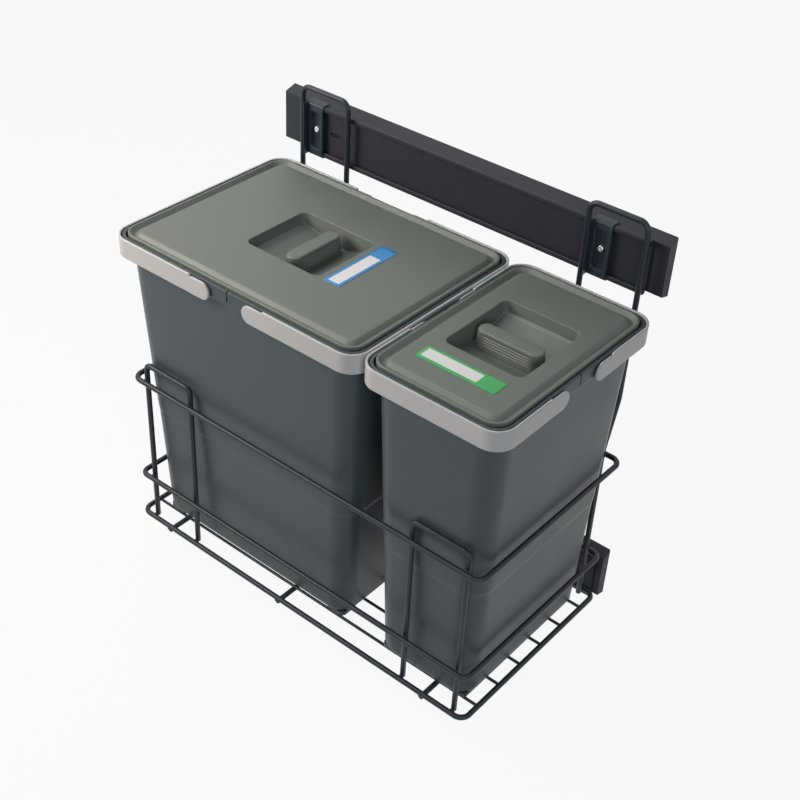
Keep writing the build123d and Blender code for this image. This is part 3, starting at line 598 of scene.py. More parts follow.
@dataclass
class Basket:
    """Welded wire basket: three rings, hoops in front, hooks behind, cross and floor wires."""

    body: str = "carriage"
    ring_corners: dict[str, float] = field(default_factory=lambda: {
        "bottom_ring": 11.0, "middle_ring": 9.0, "top_ring": 11.0})
    hoop_corner: float = 6.5
    hook_corner: float = 10.0
    jog_low: float = 203.0
    jog_high: float = 262.0
    jog_radius: float = 30.0
    middle_cross_share: float = 0.4585
    floor_wire_count: int = 6
    weld_spread: float = 3.1
    weld_height: float = 1.7
    floor_weld_share: float = 0.7

    def build(self, shop: Workshop) -> None:
        """Make every wire and the welds between them."""
        self.wire = Span.of("bottom_ring").size[2]
        for name, corner in self.ring_corners.items():
            self.coated(shop, name + "_wire", self.ring(name, corner), name)
        for side in ("left", "right"):
            for kind, shape in (("front_hoop", self.hoop), ("rear_hook", self.hook)):
                node = f"{side}_{kind}"
                self.coated(shop, node + "_wire", shape(node), node)
        self.coated(shop, "cross_wire_set", self.cross_wires(), "cross_wires")
        self.coated(shop, "floor_wire_set", self.floor_wires(), "floor_wires")
        self.coated(shop, "weld_nuggets", self.welds())

    def coated(self, shop: Workshop, name: str, shell: Shell, *replaced: str) -> None:
        """Make a powder-coated piece of the basket."""
        shop.piece(name, shell, [WIRE_SKIN], self.body, replaced)

    def ring(self, name: str, corner: float) -> Shell:
        """A closed wire along a rounded rectangle."""
        span = Span.of(name)
        half = (span.size[:2] - self.wire) / 2
        row = np.array([[half[0], half[1], corner, span.centre[2], span.centre[0], span.centre[1]]])
        path = oblongs(row, np.zeros(0), turns=12)[0]
        return tube(path, self.wire, (0, 0, 1), closed=True)

    def hoop(self, node: str) -> Shell:
        """An upside-down U between the box's sides."""
        span = Span.of(node)
        left, right = span.ends(0, self.wire / 2)
        y, low, high = span.centre[1], span.low[2], span.high[2] - self.wire / 2
        corners = [(left, y, low), (left, y, high), (right, y, high), (right, y, low)]
        return tube(rounded_line(corners, [self.hoop_corner] * 2, steps=10), self.wire, (0, 1, 0))

    def hook(self, node: str) -> Shell:
        """A taller U whose legs step back above the basket to reach the slide."""
        span = Span.of(node)
        ground = Span.of("bottom_ring").centre[2]
        (left, right), (near, far) = (span.ends(axis, self.wire / 2) for axis in (0, 1))
        low, high = span.low[2], span.high[2] - self.wire / 2
        places = [(near, low), (near, ground + self.jog_low), (far, ground + self.jog_high), (far, high)]
        leg = [(left, y, z) for y, z in places]
        other = [(right, y, z) for _, y, z in reversed(leg)]
        radii = [self.jog_radius, self.jog_radius, self.hook_corner]
        return tube(rounded_line(leg + other, radii + radii[::-1], steps=10), self.wire, (0, 1, 0))

    def cross_wires(self) -> Shell:
        """Three stout wires across the floor, at the CAD node's own places."""
        span = Span.of("cross_wires")
        near, far = span.ends(0, self.wire / 2)
        places = (near, near + (far - near) * self.middle_cross_share, far)
        z, wires = span.centre[2], Shell()
        for x in places:
            wires.add(rod((x, span.low[1], z), (x, span.high[1], z), self.wire))
        self.cross_places = places
        return wires

    def floor_wires(self) -> Shell:
        """Thin wires along the floor, evenly spaced over the node's box."""
        span = Span.of("floor_wires")
        thin, z = span.size[2], span.centre[2]
        self.floor_places = np.linspace(*span.ends(1, thin / 2), self.floor_wire_count)
        wires = Shell()
        for y in self.floor_places:
            wires.add(rod((span.low[0], y, z), (span.high[0], y, z), thin))
        return wires

    def welds(self) -> Shell:
        """A small flattened bead of molten wire at every crossing."""
        beads = Shell()
        rings = {name: Span.of(name) for name in self.ring_corners}
        spread, rise = self.weld_spread, self.weld_height
        small = tuple(radius * self.floor_weld_share for radius in (spread, spread, rise))
        for side in ("left", "right"):
            for kind, edge in (("front_hoop", 0), ("rear_hook", 1)):
                span = Span.of(f"{side}_{kind}")
                for ring in rings.values():
                    y = ring.ends(1, self.wire)[edge]
                    for x in span.ends(0, self.wire / 2):
                        beads.add(pebble(np.array([x, y, ring.centre[2]]), (spread, rise, spread)))
        ground = rings["bottom_ring"]
        deck = Span.of("cross_wires").high[2]
        for x in self.cross_places:
            for y in ground.ends(1, self.wire / 2):
                beads.add(pebble(np.array([x, y, deck]), (spread, spread, rise)))
            for y in self.floor_places:
                beads.add(pebble(np.array([x, y, deck]), small))
        return beads


# Bins

@dataclass
class WasteBin:
    """A tapered bin with its lid, blank label and two carrying bails.

    Insets are measured from the outside of the folded bails and heights from the feet, in a
    frame of its own whose +X is the end with the label.
    """

    name: str
    turn: float
    base_inset: float
    ledge_inset: float
    film: Finish
    film_slot: Slot
    wall: float = 1.8
    floor: float = 2.2
    foot_height: float = 5.0
    foot_size: float = 26.0
    foot_corner: float = 6.0
    foot_draft: float = 0.6
    foot_draft_height: float = 2.0
    foot_bend: float = 1.2
    foot_face_inset: float = 4.0
    base_edge: float = 4.0
    base_corner: float = 22.0
    ledge_height: float = 150.0
    ledge_rise: float = 5.0
    ledge_step: float = 0.9
    neck_inset: float = 10.0
    neck_corner: float = 25.0
    neck_drop: float = 21.0
    rim_drop: float = 15.0
    rim_inset: float = 3.6
    rim_corner: float = 19.5
    rim_wall: float = 3.6
    slit_width: float = 1.6
    slit_depth: float = 12.0
    floor_corner: float = 2.0
    outer_bends: tuple[float, ...] = (3.0, 5.0, 12.0, 12.0, 5.0, 3.0, 0.0, 0.9)
    inner_bends: tuple[float, ...] = (0.9, 0.0, 2.0, 4.0, 12.0, 12.0, 4.0, 2.0)
    bail_thickness: float = 2.6
    bail_corner: float = 22.0
    bail_step: float = 2.0
    bail_step_length: float = 16.0
    bail_step_run: float = 3.2
    bail_bite: tuple[float, float] = (1.6, 1.1)
    bail_edge: float = 0.9
    pin: float = 6.0
    pin_past_rim: float = 0.9
    lid_inset: float = 8.1
    lid_corner: float = 18.0
    lid_skin: float = 2.0
    lid_edge: float = 2.6
    lid_roll: float = 2.2
    gutter_depth: float = 4.0
    lid_low_rise: float = 0.2
    lid_under_bends: tuple[float, ...] = (0.8, 0.8, 0.8, 0.8, 0.8, 0.3)
    lid_top_bends: tuple[float, ...] = (0.1, 1.8, 2.6, 1.4, 1.4, 3.2)
    gutter_flank: float = 4.0
    gutter_floor: float = 1.8
    panel_inset: float = 20.2
    panel_corner: float = 7.0
    panel_drop: float = 0.4
    skirt_gap: float = 1.0
    skirt_depth: float = 6.0
    recess_length: float = 100.0
    recess_width: float = 89.5
    recess_depth: float = 22.0
    recess_end_depth: float = 12.0
    recess_corner: float = 8.0
    recess_angle: float = 8.0
    recess_shift: float = 3.2
    recess_mouth_edge: float = 0.7
    recess_floor_edge: float = 1.4
    recess_margin: float = 3.0
    grip_length: float = 72.0
    grip_width: float = 17.0
    grip_corner: float = 8.0
    grip_angle: float = 7.0
    grip_drop: float = 0.5
    grip_edge: float = 3.2
    grip_crown: float = 1.5
    grip_toe: float = 1.2
    grip_toe_bend: float = 1.1
    rib_start_share: float = 0.34
    rib_end_share: float = 0.84
    rib_fade: float = 3.0
    rib_count: int = 4
    rib_depth: float = 0.75
    label_length: float = 90.0
    label_width: float = 21.0
    label_sheet: float = 0.4
    label_margin: float = 3.6
    label_end: float = 23.0
    label_corners: tuple[float, float] = (1.0, 1.5)
    label_face_inset: float = 3.0
    field_corners: tuple[float, float] = (0.3, 0.4)
    field_face_inset: float = 2.0

    def build(self, shop: Workshop) -> None:
        """Make the bin's five pieces."""
        tag = self.name
        bails = [f"{tag}_label_end_bail", f"{tag}_plain_end_bail"]
        span, outside = Span.of(f"{tag}_bin"), Span.of(*bails)
        self.origin = np.array([outside.centre[0], outside.centre[1], span.low[2]])
        a = math.radians(self.turn)
        self.matrix = np.array([[math.cos(a), -math.sin(a), 0], [math.sin(a), math.cos(a), 0], [0, 0, 1]])
        long = 1 if abs(math.sin(a)) > 0.5 else 0
        self.length, self.width = outside.size[long], outside.size[1 - long]
        self.rim = span.size[2]
        self.lid_top = Span.of(f"{tag}_lid").high[2] - self.origin[2]
        self.bail_low = outside.low[2] - self.origin[2]
        self.bail_high = outside.high[2] - self.origin[2]
        self.bail_end_radius = (self.bail_high - self.bail_low - self.bail_step) / 2
        self.pivot = self.length / 2 - Span.of(bails[0]).size[long] + self.bail_end_radius
        tub, cover = f"{tag}_bin", f"{tag}_lid"
        self.add_piece(shop, "tub", self.tub(), [BIN_SKIN], tub, tub)
        self.add_piece(shop, "cover_lid", self.lid(), [LID_SKIN], cover, cover)
        self.add_piece(shop, "blank_label", self.label(), [self.film, WHITE_FILM], cover,
                       f"{tag}_lid_label")
        for node, side in zip(bails, (1.0, -1.0)):
            shape = self.bail()
            shape.points = shape.points * np.array([side, side, 1.0])
            name = node.replace(f"{tag}_", "") + "_band"
            self.add_piece(shop, name, shape, [BAIL_SKIN], node, node)

    def add_piece(self, shop: Workshop, name: str, shell: Shell, finishes: list[Finish], body: str,
                  replaced: str) -> None:
        """Turn a shell to the bin's place and make its piece."""
        placed = shell.placed(self.matrix, self.origin)
        shop.piece(f"{self.name}_{name}", placed, finishes, body, (replaced,))

    def tub(self) -> Shell:
        """The bin: one profile carried round, up the outside and down the inside, and four feet.

        The rim has a slit in the middle of both long sides: its quads are left out, and the
        cut is closed by two side faces and a bottom one.
        """
        wall, foot, top = self.wall, self.foot_height, self.rim
        floor, ledge, slit = foot + self.floor, self.ledge_height, top - self.slit_depth
        neck, flare = top - self.neck_drop, top - self.rim_drop
        deep = self.base_inset + self.base_edge
        ledge_corner = (self.base_corner + self.neck_corner) / 2
        outer = [
            (deep, foot, self.base_corner - self.base_edge),
            (self.base_inset, foot + self.base_edge, self.base_corner),
            (self.ledge_inset, ledge, ledge_corner),
            (self.ledge_inset - self.ledge_step, ledge + self.ledge_rise, ledge_corner + self.ledge_step),
            (self.neck_inset, neck, self.neck_corner),
            (self.rim_inset, flare, self.rim_corner),
            (self.rim_inset, slit, self.rim_corner),
            (self.rim_inset, top, self.rim_corner),
        ]
        inner = [(inset + wall, height, corner - wall) for inset, height, corner in outer[1:5]]
        inner[0] = (inner[0][0], inner[0][1] + self.floor, inner[0][2])
        thick = self.rim_wall
        inner += [(inset + thick, height, corner - thick) for inset, height, corner in outer[5:]]
        middle = deep + self.foot_size
        under = [(middle, foot, self.floor_corner)]
        sole_corner = self.base_corner - self.base_edge - wall
        bottom = [(deep + wall, floor, sole_corner), (middle, floor, self.floor_corner)]
        line = under + outer + inner[::-1] + bottom
        profile = rounded_line(line, [*self.outer_bends, *self.inner_bends], steps=5)
        straight = self.length - 2 * self.rim_inset - 2 * self.rim_corner
        half = self.slit_width / 2 / straight
        shares = np.sort(np.concatenate([SIDE_SHARES, [0.5 - half, 0.5 + half]]))
        turns = 14
        grid = oblongs(rim_rows(self.length, self.width, profile), shares, turns)
        cut = np.flatnonzero(np.isclose(profile[:, 1], slit))
        first, last = int(cut[0]), int(cut[-1])
        skip = np.zeros((grid.shape[0] - 1, grid.shape[1]), bool)
        shell_cuts = []
        stride = turns + 1 + len(shares)
        for side in (0, 2):
            column = side * stride + turns + 1 + int(np.argmin(np.abs(shares - (0.5 - half))))
            skip[first:last, column] = True
            shell_cuts.append(column)
        shell = grid_shell(grid, skip=skip)
        columns = grid.shape[1]
        for column in shell_cuts:
            near = [row * columns + column for row in range(first, last + 1)]
            far = [index + 1 for index in near]
            shell.faces += [near, far[::-1], [near[0], near[-1], far[-1], far[0]]]
            shell.tints += [0, 0, 0]
        return self.with_feet(shell, deep)

    def with_feet(self, shell: Shell, deep: float) -> Shell:
        """Add four soft-edged feet under the floor's corners."""
        half, high, corner = self.foot_size / 2, self.foot_height + self.floor / 2, self.foot_corner
        line = [(half - self.foot_face_inset, 0, corner / 2), (self.foot_draft, 0, corner),
                (0, self.foot_draft_height, corner), (0, high, corner)]
        profile = rounded_line(line, [self.foot_bend] * 2, steps=4)
        foot = grid_shell(oblongs(rim_rows(self.foot_size, self.foot_size, profile), turns=6))
        x, y = self.length / 2 - deep - half, self.width / 2 - deep - half
        for sx in (1, -1):
            for sy in (1, -1):
                shell.add(foot.placed(np.eye(3), np.array([sx * x, sy * y, 0.0])))
        return shell

    def lid(self) -> Shell:
        """The lid as one grid of rows, carried round.

        The rows run out along the underside, over the rolled edge, through the gutter and up
        to the panel, down into the finger recess and up over the grip bar.
        """
        top = self.lid_top
        low, panel, gutter = top - self.lid_edge, top - self.panel_drop, top - self.gutter_depth
        skirt = self.rim_inset + self.rim_wall + self.skirt_gap
        roll = self.lid_inset + self.lid_roll
        foot = roll + self.gutter_flank
        under = self.panel_inset + self.panel_drop
        flat = self.panel_inset + 3 * self.lid_skin
        pairs = [
            (flat, panel - self.lid_skin), (under, panel - self.lid_skin), (under, gutter - self.lid_skin),
            (skirt + self.lid_skin, gutter - self.lid_skin), (skirt + self.lid_skin, low - self.skirt_depth),
            (skirt, low - self.skirt_depth), (skirt, low),
            (self.lid_inset, low + self.lid_low_rise), (self.lid_inset, top), (roll, top),
            (foot, gutter), (foot + self.gutter_floor, gutter), (self.panel_inset, panel), (flat, panel),
        ]
        line = [(i, z, max(self.lid_corner - (i - self.lid_inset), self.panel_corner)) for i, z in pairs]
        profile = rounded_line(line, [*self.lid_under_bends, *self.lid_top_bends], steps=5)
        edge = oblongs(rim_rows(self.length, self.width, profile), LID_SHARES, LID_TURNS)
        below = self.well(self.lid_skin, panel - self.lid_skin)
        grip = self.grip(panel - self.recess_depth, panel - self.grip_drop)
        return grid_shell(np.concatenate([below[::-1], edge, self.well(0.0, panel), grip]))

    @property
    def grip_flare(self) -> float:
        """How far the grip bar's foot stands out past its top, by its draft angle."""
        return (self.recess_depth - self.grip_drop) * math.tan(math.radians(self.grip_angle))

    def valley(self, x: np.ndarray) -> np.ndarray:
        """Depth of the recess's floor: full beside the grip bar, less in a straight line to each end."""
        foot = self.grip_width / 2 + self.grip_flare
        half = self.recess_length / 2
        places = [-self.recess_shift - half, -foot, foot, half - self.recess_shift]
        depths = [self.recess_end_depth, self.recess_depth, self.recess_depth, self.recess_end_depth]
        return np.interp(x, places, depths)

    def well(self, grow: float, mouth: float) -> np.ndarray:
        """Rows down the recess's drafted wall and in along its floor to the grip bar's foot.

        In each column the wall goes down to the floor's depth at its foot, found by repeated
        substitution. Its section is a blend, by that depth, of one rounded section drawn for
        the shallowest and one for the deepest wall, and is laid off along the column's normal.

        Args:
            grow: how far the wall lies outside the recess.
            mouth: height of the recess's mouth.

        Returns:
            Grid of rows by columns by 3.
        """
        draft = math.tan(math.radians(self.recess_angle))
        size = np.array([[
            self.recess_length / 2 + grow, self.recess_width / 2 + grow, self.recess_corner + grow,
            mouth, -self.recess_shift, 0.0]])
        rim = oblongs(size, LID_SHARES, LID_TURNS)[0]
        normal = rim - oblongs(size - np.array([[1, 1, 1, 0, 0, 0]]), LID_SHARES, LID_TURNS)[0]
        depth = np.full(len(rim), self.recess_depth)
        rounds = 4
        for _ in range(rounds):
            depth = self.valley(rim[:, 0] - normal[:, 0] * depth * draft)
        sections, margin = [], self.recess_margin
        for deep in (self.recess_end_depth, self.recess_depth):
            corners = [(-margin, 0.0), (0.0, 0.0), (deep * draft, deep), (deep * draft + margin, deep)]
            edges = [self.recess_mouth_edge, self.recess_floor_edge]
            sections.append(rounded_line(corners, edges, steps=6)[:-1])
        share = (depth - self.recess_end_depth) / (self.recess_depth - self.recess_end_depth)
        wall = sections[0][:, None] + (sections[1] - sections[0])[:, None] * share[None, :, None]
        rows = rim - normal * wall[..., 0:1]
        rows[..., 2] = mouth - wall[..., 1]
        rows[-1, :, 2] = mouth - self.valley(rows[-1, :, 0])
        ring = self.grip_ring(-self.grip_flare - self.grip_toe, mouth - self.recess_depth)
        floor_rows = 8
        step = np.linspace(0, 1, floor_rows + 1)[1:, None, None]
        floor = rows[-1] + (ring - rows[-1]) * step
        floor[..., 2] = mouth - self.valley(floor[..., 0])
        return np.concatenate([rows, floor])

    def grip_ring(self, inset: float, height: float) -> np.ndarray:
        """One row round the grip bar at an inset from its top outline."""
        half = (self.grip_width / 2 - inset, self.grip_length / 2 - inset)
        row = [*half, self.grip_corner - inset, height, 0, 0]
        return oblongs(np.array([row]), LID_SHARES, LID_TURNS)[0]

    def grip(self, foot: float, top: float) -> np.ndarray:
        """Rows up the grip bar: a filleted foot, drafted sides, and a rounded top.

        The long sides carry shallow ribs: a cosine wave of the height pulls them in, over the
        upper part and away from the bar's ends, where it fades out smoothly.
        """
        flare, rise = self.grip_flare, top - foot
        start, end = self.rib_start_share, self.rib_end_share
        rows_per_rib = 8
        shares = np.linspace(start, end, self.rib_count * rows_per_rib + 1)
        sides = [(-flare * (1 - share), foot + rise * share) for share in shares]
        toe = [(-flare - self.grip_toe, foot), (-flare, foot), sides[0]]
        foot_line = rounded_line(toe, [self.grip_toe_bend], steps=4)[1:-1]
        crown = [sides[-1], (0.0, top), (self.grip_width / 2 - self.grip_crown, top)]
        top_line = rounded_line(crown, [self.grip_edge], steps=7)
        inset, height = np.vstack([foot_line, sides, top_line[1:]]).T
        half_x, half_y = self.grip_width / 2 - inset, self.grip_length / 2 - inset
        least_corner, least_side = 0.3, 0.05
        corner = np.clip(self.grip_corner - inset, least_corner, half_x - least_side)
        rows = np.stack([half_x, half_y, corner, height, 0 * inset, 0 * inset], axis=1)
        grid = oblongs(rows, LID_SHARES, LID_TURNS)
        share = np.clip(((height - foot) / rise - start) / (end - start), 0, 1)
        wave = (1 - np.cos(share * self.rib_count * 2 * np.pi)) / 2 * self.rib_depth
        fade = smooth((self.grip_length / 2 - self.grip_corner - np.abs(grid[..., 1])) / self.rib_fade)
        grid[..., 0] -= np.sign(grid[..., 0]) * wave[:, None] * fade
        return grid

    def label(self) -> Shell:
        """A coloured film plate with a white field on it, both blank."""
        low = self.lid_top - self.panel_drop
        high = low + self.label_sheet
        plate = self.sheet_line(low, high, self.label_face_inset, self.label_corners)
        profile = rounded_line(plate, [self.label_sheet / 8, self.label_sheet * 3 / 8], steps=2)
        shape = grid_shell(oblongs(rim_rows(self.label_width, self.label_length, profile), turns=4))
        long = self.label_length - self.label_margin - self.label_end
        thick = self.label_sheet / 4
        sheet = self.sheet_line(high - thick, high + thick, self.field_face_inset, self.field_corners)
        field_rows = rim_rows(self.label_width - 2 * self.label_margin, long, np.array(sheet))
        white = grid_shell(oblongs(field_rows, turns=3))
        shift = np.array([0.0, (self.label_margin - self.label_end) / 2, 0.0])
        both = Shell().add(shape).add(white.placed(np.eye(3), shift), tint=1)
        node = Span.of(f"{self.name}_lid_label")
        place = self.matrix.T @ (node.centre - self.origin)
        both.points = both.points + np.array([place[0], place[1], 0.0])
        return both

    @staticmethod
    def sheet_line(low: float, high: float, inset: float,
                   corners: tuple[float, float]) -> list[tuple[float, float, float]]:
        """Profile of a flat sheet, from inside its lower face over the edge to inside its upper one."""
        face, edge = corners
        return [(inset, low, face), (0.0, low, edge), (0.0, high, edge), (inset, high, face)]

    def bail(self) -> Shell:
        """The carrying bail round the +X end, with a pivot pin inside each end.

        A flat band follows a U. Near each end it drops by a small step, and the end is half
        round about the pivot. A point's half thickness falls off as a circle of the edge
        radius within that distance of the band's outline, so that every edge is rounded.
        """
        radius, pivot = self.bail_end_radius, self.pivot
        pivot_height = self.bail_low + radius
        half = (self.width - self.bail_thickness) / 2
        far = self.length / 2 - self.bail_thickness / 2
        tip = pivot - radius
        bends = [self.bail_corner - self.bail_thickness / 2] * 2
        u_line = rounded_line([(tip, -half), (far, -half), (far, half), (tip, half)], bends, steps=16)
        end_turn = np.radians([9, 22, 36, 50, 63, 77, 90])
        step_places = np.linspace(-0.75, 0.75, 9) * self.bail_step_run
        legs = np.concatenate([radius * (1 - np.cos(end_turn)), radius + self.bail_step_length + step_places])
        near = np.stack([tip + legs, np.full(len(legs), -half)], axis=1)
        path = np.vstack([near, u_line[1:-1], near[::-1] * np.array([1, -1])])
        run = np.concatenate([[0], np.cumsum(np.linalg.norm(np.diff(path, axis=0), axis=1))]) + legs[0]
        along = np.minimum(run, run[-1] + legs[0] - run)
        return self.bail_surface(path, along, radius, pivot_height).add(self.pins(pivot, pivot_height))

    def bail_surface(self, path: np.ndarray, along: np.ndarray, radius: float,
                     pivot_height: float) -> Shell:
        """The band itself, as a grid of path points by points round the section."""
        past_step = along - radius - self.bail_step_length
        step = self.bail_step * (1 - smooth(past_step / self.bail_step_run + 0.5))
        bite_depth, bite_width = self.bail_bite
        notch = bite_depth * np.exp(-(past_step / bite_width) ** 2)
        rounding = np.sqrt(np.clip(radius ** 2 - np.clip(radius - along, 0, None) ** 2, 0.01, None))
        top = np.where(along < radius, pivot_height + rounding, self.bail_high - step - notch)
        low = np.where(along < radius, pivot_height - rounding, self.bail_low)
        half = ((top - low) / 2)[:, None]
        edge = self.bail_edge
        depth_shares = np.array([0.0, 0.08, 0.27, 0.55, 0.9, 3.0])
        depth = np.minimum(depth_shares[None] * edge, half)
        height = np.concatenate([low[:, None] + depth, (top[:, None] - depth)[:, ::-1]], axis=1)
        from_side = np.concatenate([depth, depth[:, ::-1]], axis=1)
        reach = np.hypot(np.clip(radius - along, 0, None)[:, None], height - pivot_height)
        from_tip = np.where(along[:, None] < radius, radius - reach, radius)
        close = np.clip(np.minimum(from_side, from_tip), 0, edge)
        thick = self.bail_thickness / 2 - edge + np.sqrt(edge ** 2 - (edge - close) ** 2)
        offset = normals(path)[:, None] * thick[..., None]
        front, back = path[:, None] + offset, path[:, None] - offset
        flat = np.concatenate([front, back[:, ::-1]], axis=1)
        level = np.concatenate([height, height[:, ::-1]], axis=1)
        return grid_shell(np.concatenate([flat, level[..., None]], axis=2))

    def pins(self, pivot: float, height: float) -> Shell:
        """Two short pins from the band's inside through the rim."""
        outside = self.width / 2 - self.bail_thickness / 2
        inside = self.width / 2 - self.rim_inset - self.rim_wall - self.pin_past_rim
        pins = Shell()
        for side in (1, -1):
            pins.add(rod((pivot, side * inside, height), (pivot, side * outside, height), self.pin))
        return pins


# Slides

@dataclass
class Slide:
    """One telescopic slide: CAD members that already have their shape, each in its finish."""

    name: str
    finishes: dict[str, Finish] = field(default_factory=lambda: {
        "wall_rail": ZINC_SKIN, "closing_buffer": RUBBER_SKIN, "slide_cover": COVER_SKIN,
        "raceways": ZINC_SKIN, "wall_side_cage": CAGE_SKIN, "wall_side_balls": BALL_SKIN,
        "basket_side_cage": CAGE_SKIN, "basket_side_balls": BALL_SKIN, "slider": SLIDER_SKIN,
        "channel": COVER_SKIN, "left_bracket": BRACKET_SKIN, "right_bracket": BRACKET_SKIN,
        "bracket_screws": SCREW_SKIN})
    bracket_sheet: float = 1.2
    bracket_bend: float = 2.6
    bracket_cap: float = 11.5
    bracket_return_height: float = 42.0
    bracket_return_depth: float = 4.8
    pocket: tuple[float, float] = (15.0, 44.0)
    pocket_slope: float = 2.6
    tab_size: tuple[float, float] = (4.2, 6.4)
    tab_shift: float = 3.4
    tab_rise: float = 0.5
    tab_slope: float = 0.6
    bead_width: float = 2.4
    bead_rise: float = 0.7
    bead_slope: float = 0.8
    bead_inset: float = 1.4
    bead_end_gap: float = 3.0
    bead_end_slope: float = 1.5
    cut_edge: float = 0.4
    cut_edge_depth: float = 0.35
    flange_edge: float = 0.3
    screw_head: float = 2.6

    def build(self, shop: Workshop, nodes: dict[str, bpy.types.Object]) -> None:
        """Dress every member of the slide and remake its two brackets.

        Args:
            shop: the maker of materials.
            nodes: the frame's CAD nodes by name.
        """
        for part, finish in self.finishes.items():
            shop.dress(nodes[f"{self.name}_{part}"], finish)
        for side in ("left", "right"):
            node = f"{self.name}_{side}_bracket"
            shop.piece(node + "_pressing", self.bracket(node), [BRACKET_SKIN], "carriage",
                       (node,))

    def bracket(self, node: str) -> Shell:
        """Clip plate bent over the channel, with a flange at its left and a return at its right.

        The plate is a strip of sheet along a rounded C line, in Y and Z about the plate's middle
        height. Each cut edge along the strip is rounded by a quarter ellipse.
        """
        span = Span.of(node)
        places, edge_shares = 40, (0.0, 0.375, 1.0)
        half, front = self.bracket_sheet / 2, span.high[1] - self.bracket_cap
        high = span.size[2] / 2 - half
        line = self.bracket_line(span.high[1], front + half, high)
        outward = normals(line)
        edge = np.array(edge_shares) * self.cut_edge
        plain = np.linspace(2 * self.cut_edge, span.size[0] - 2 * self.cut_edge, places)
        x = span.low[0] + np.concatenate([edge, plain, span.size[0] - edge[::-1]])
        past_edge = np.clip(np.minimum(x - x[0], x[-1] - x) / self.cut_edge, 0, 1)
        thin = half - self.cut_edge_depth * (1 - np.sqrt(1 - (1 - past_edge) ** 2))
        press = self.press(x, np.abs(line[:, 1])[:, None], span, high)
        faces = []
        for sign in (1, -1):
            depth = line[:, None, 0] + sign * outward[:, None, 0] * thin + press
            level = line[:, None, 1] + sign * outward[:, None, 1] * thin + span.centre[2]
            faces.append(np.stack([np.broadcast_to(x, depth.shape), depth, level], axis=-1))
        shell = grid_shell(np.concatenate([faces[0], faces[1][:, ::-1]], axis=1))
        return shell.add(self.flange(span, front, high)).add(self.turned_edge(span, front))

    def bracket_line(self, back: float, front: float, high: float) -> np.ndarray:
        """The plate's C line, in Y and Z about its middle height.

        Args:
            back: where both caps end, at the wall side.
            front: the plate's place along Y.
            high: the caps' distance from the middle height.

        Returns:
            Array of points by 2, from the upper cap's end to the lower one's.
        """
        steps, rows = 6, 60
        corners = [(back, high), (front, high), (front, -high), (back, -high)]
        line = rounded_line(corners, [self.bracket_bend] * 2, steps)
        upper, lower = line[:steps + 2], line[steps + 2:]
        run = np.linspace(upper[-1], lower[0], rows)
        return np.vstack([upper, run[1:-1], lower])

    def press(self, x: np.ndarray, upright: np.ndarray, span: Span, high: float) -> np.ndarray:
        """How far the press moves each point of the plate along Y.

        It is the sum of three smooth steps: the pocket, down to the screw's seat, a small tab
        raised in it, and a bead raised at the right edge.

        Args:
            x: places across the plate.
            upright: distances from the plate's middle height, as a column.
            span: the bracket's box.
            high: the caps' distance from the plate's middle height.

        Returns:
            Array of heights by places.
        """
        seat = Span.of(f"{self.name}_bracket_screws").low[1] + self.screw_head
        deep = seat - span.high[1] + self.bracket_cap
        across = (x - span.centre[0])[None]
        wide, tall = self.pocket
        pocket = smooth((wide / 2 - np.abs(across)) / self.pocket_slope)
        pocket = pocket * smooth((tall / 2 - upright) / self.pocket_slope)
        wide, tall = self.tab_size
        tab = smooth((wide / 2 - np.abs(across - self.tab_shift)) / self.tab_slope)
        tab = tab * smooth((tall / 2 - upright) / self.tab_slope)
        from_bead = np.abs(x[-1] - self.bead_inset - x)[None]
        bead = smooth((self.bead_width / 2 - from_bead) / self.bead_slope)
        bead = bead * smooth((high - self.bead_end_gap - upright) / self.bead_end_slope)
        return deep * pocket - self.tab_rise * tab - self.bead_rise * bead

    def flange(self, span: Span, front: float, high: float) -> Shell:
        """The flat flange at the plate's left edge, beside the hook's leg."""
        right, back = span.low[0] + self.bracket_sheet, front + self.bracket_sheet
        low = np.array([span.low[0], span.low[1], span.centre[2] - high])
        return slab(low, np.array([right, back, span.centre[2] + high]), self.flange_edge)

    def turned_edge(self, span: Span, front: float) -> Shell:
        """The edge turned back into the channel at the plate's right."""
        tall, left = self.bracket_return_height / 2, span.high[0] - self.bracket_sheet
        low = np.array([left, front + self.flange_edge, span.centre[2] - tall])
        high = np.array([span.high[0], front + self.bracket_return_depth, span.centre[2] + tall])
        return slab(low, high, self.flange_edge)


# Studio

@dataclass(frozen=True)
class Camera:
    """The photograph's view, as found from the basket's rings and the bins' rims."""

    place: tuple[float, float, float] = (737.6, -1047.7, 655.4)
    azimuth: float = 37.8
    elevation: float = 36.5
    roll: float = 3.3
    lens: float = 60.54

    def build(self) -> None:
        """Make the scene's camera.

        Its back direction comes from azimuth and elevation, and the roll turns its right and
        up directions about it.
        """
        a, e, r = (math.radians(v) for v in (self.azimuth, self.elevation, self.roll))
        back = Vector((math.sin(a) * math.cos(e), -math.cos(a) * math.cos(e), math.sin(e)))
        right = Vector((math.cos(a), math.sin(a), 0))
        up = back.cross(right)
        right, up = right * math.cos(r) + up * math.sin(r), up * math.cos(r) - right * math.sin(r)
        data = bpy.data.cameras.new("photo_view")
        data.lens, data.sensor_width = self.lens, 36.0
        data.clip_start, data.clip_end = 0.01, 50.0
        camera = linked("photo_view", data)
        turned = Matrix((right, up, back)).transposed().to_4x4()
        camera.matrix_world = Matrix.Translation(Vector(self.place) * MM) @ turned
        bpy.context.scene.camera = camera


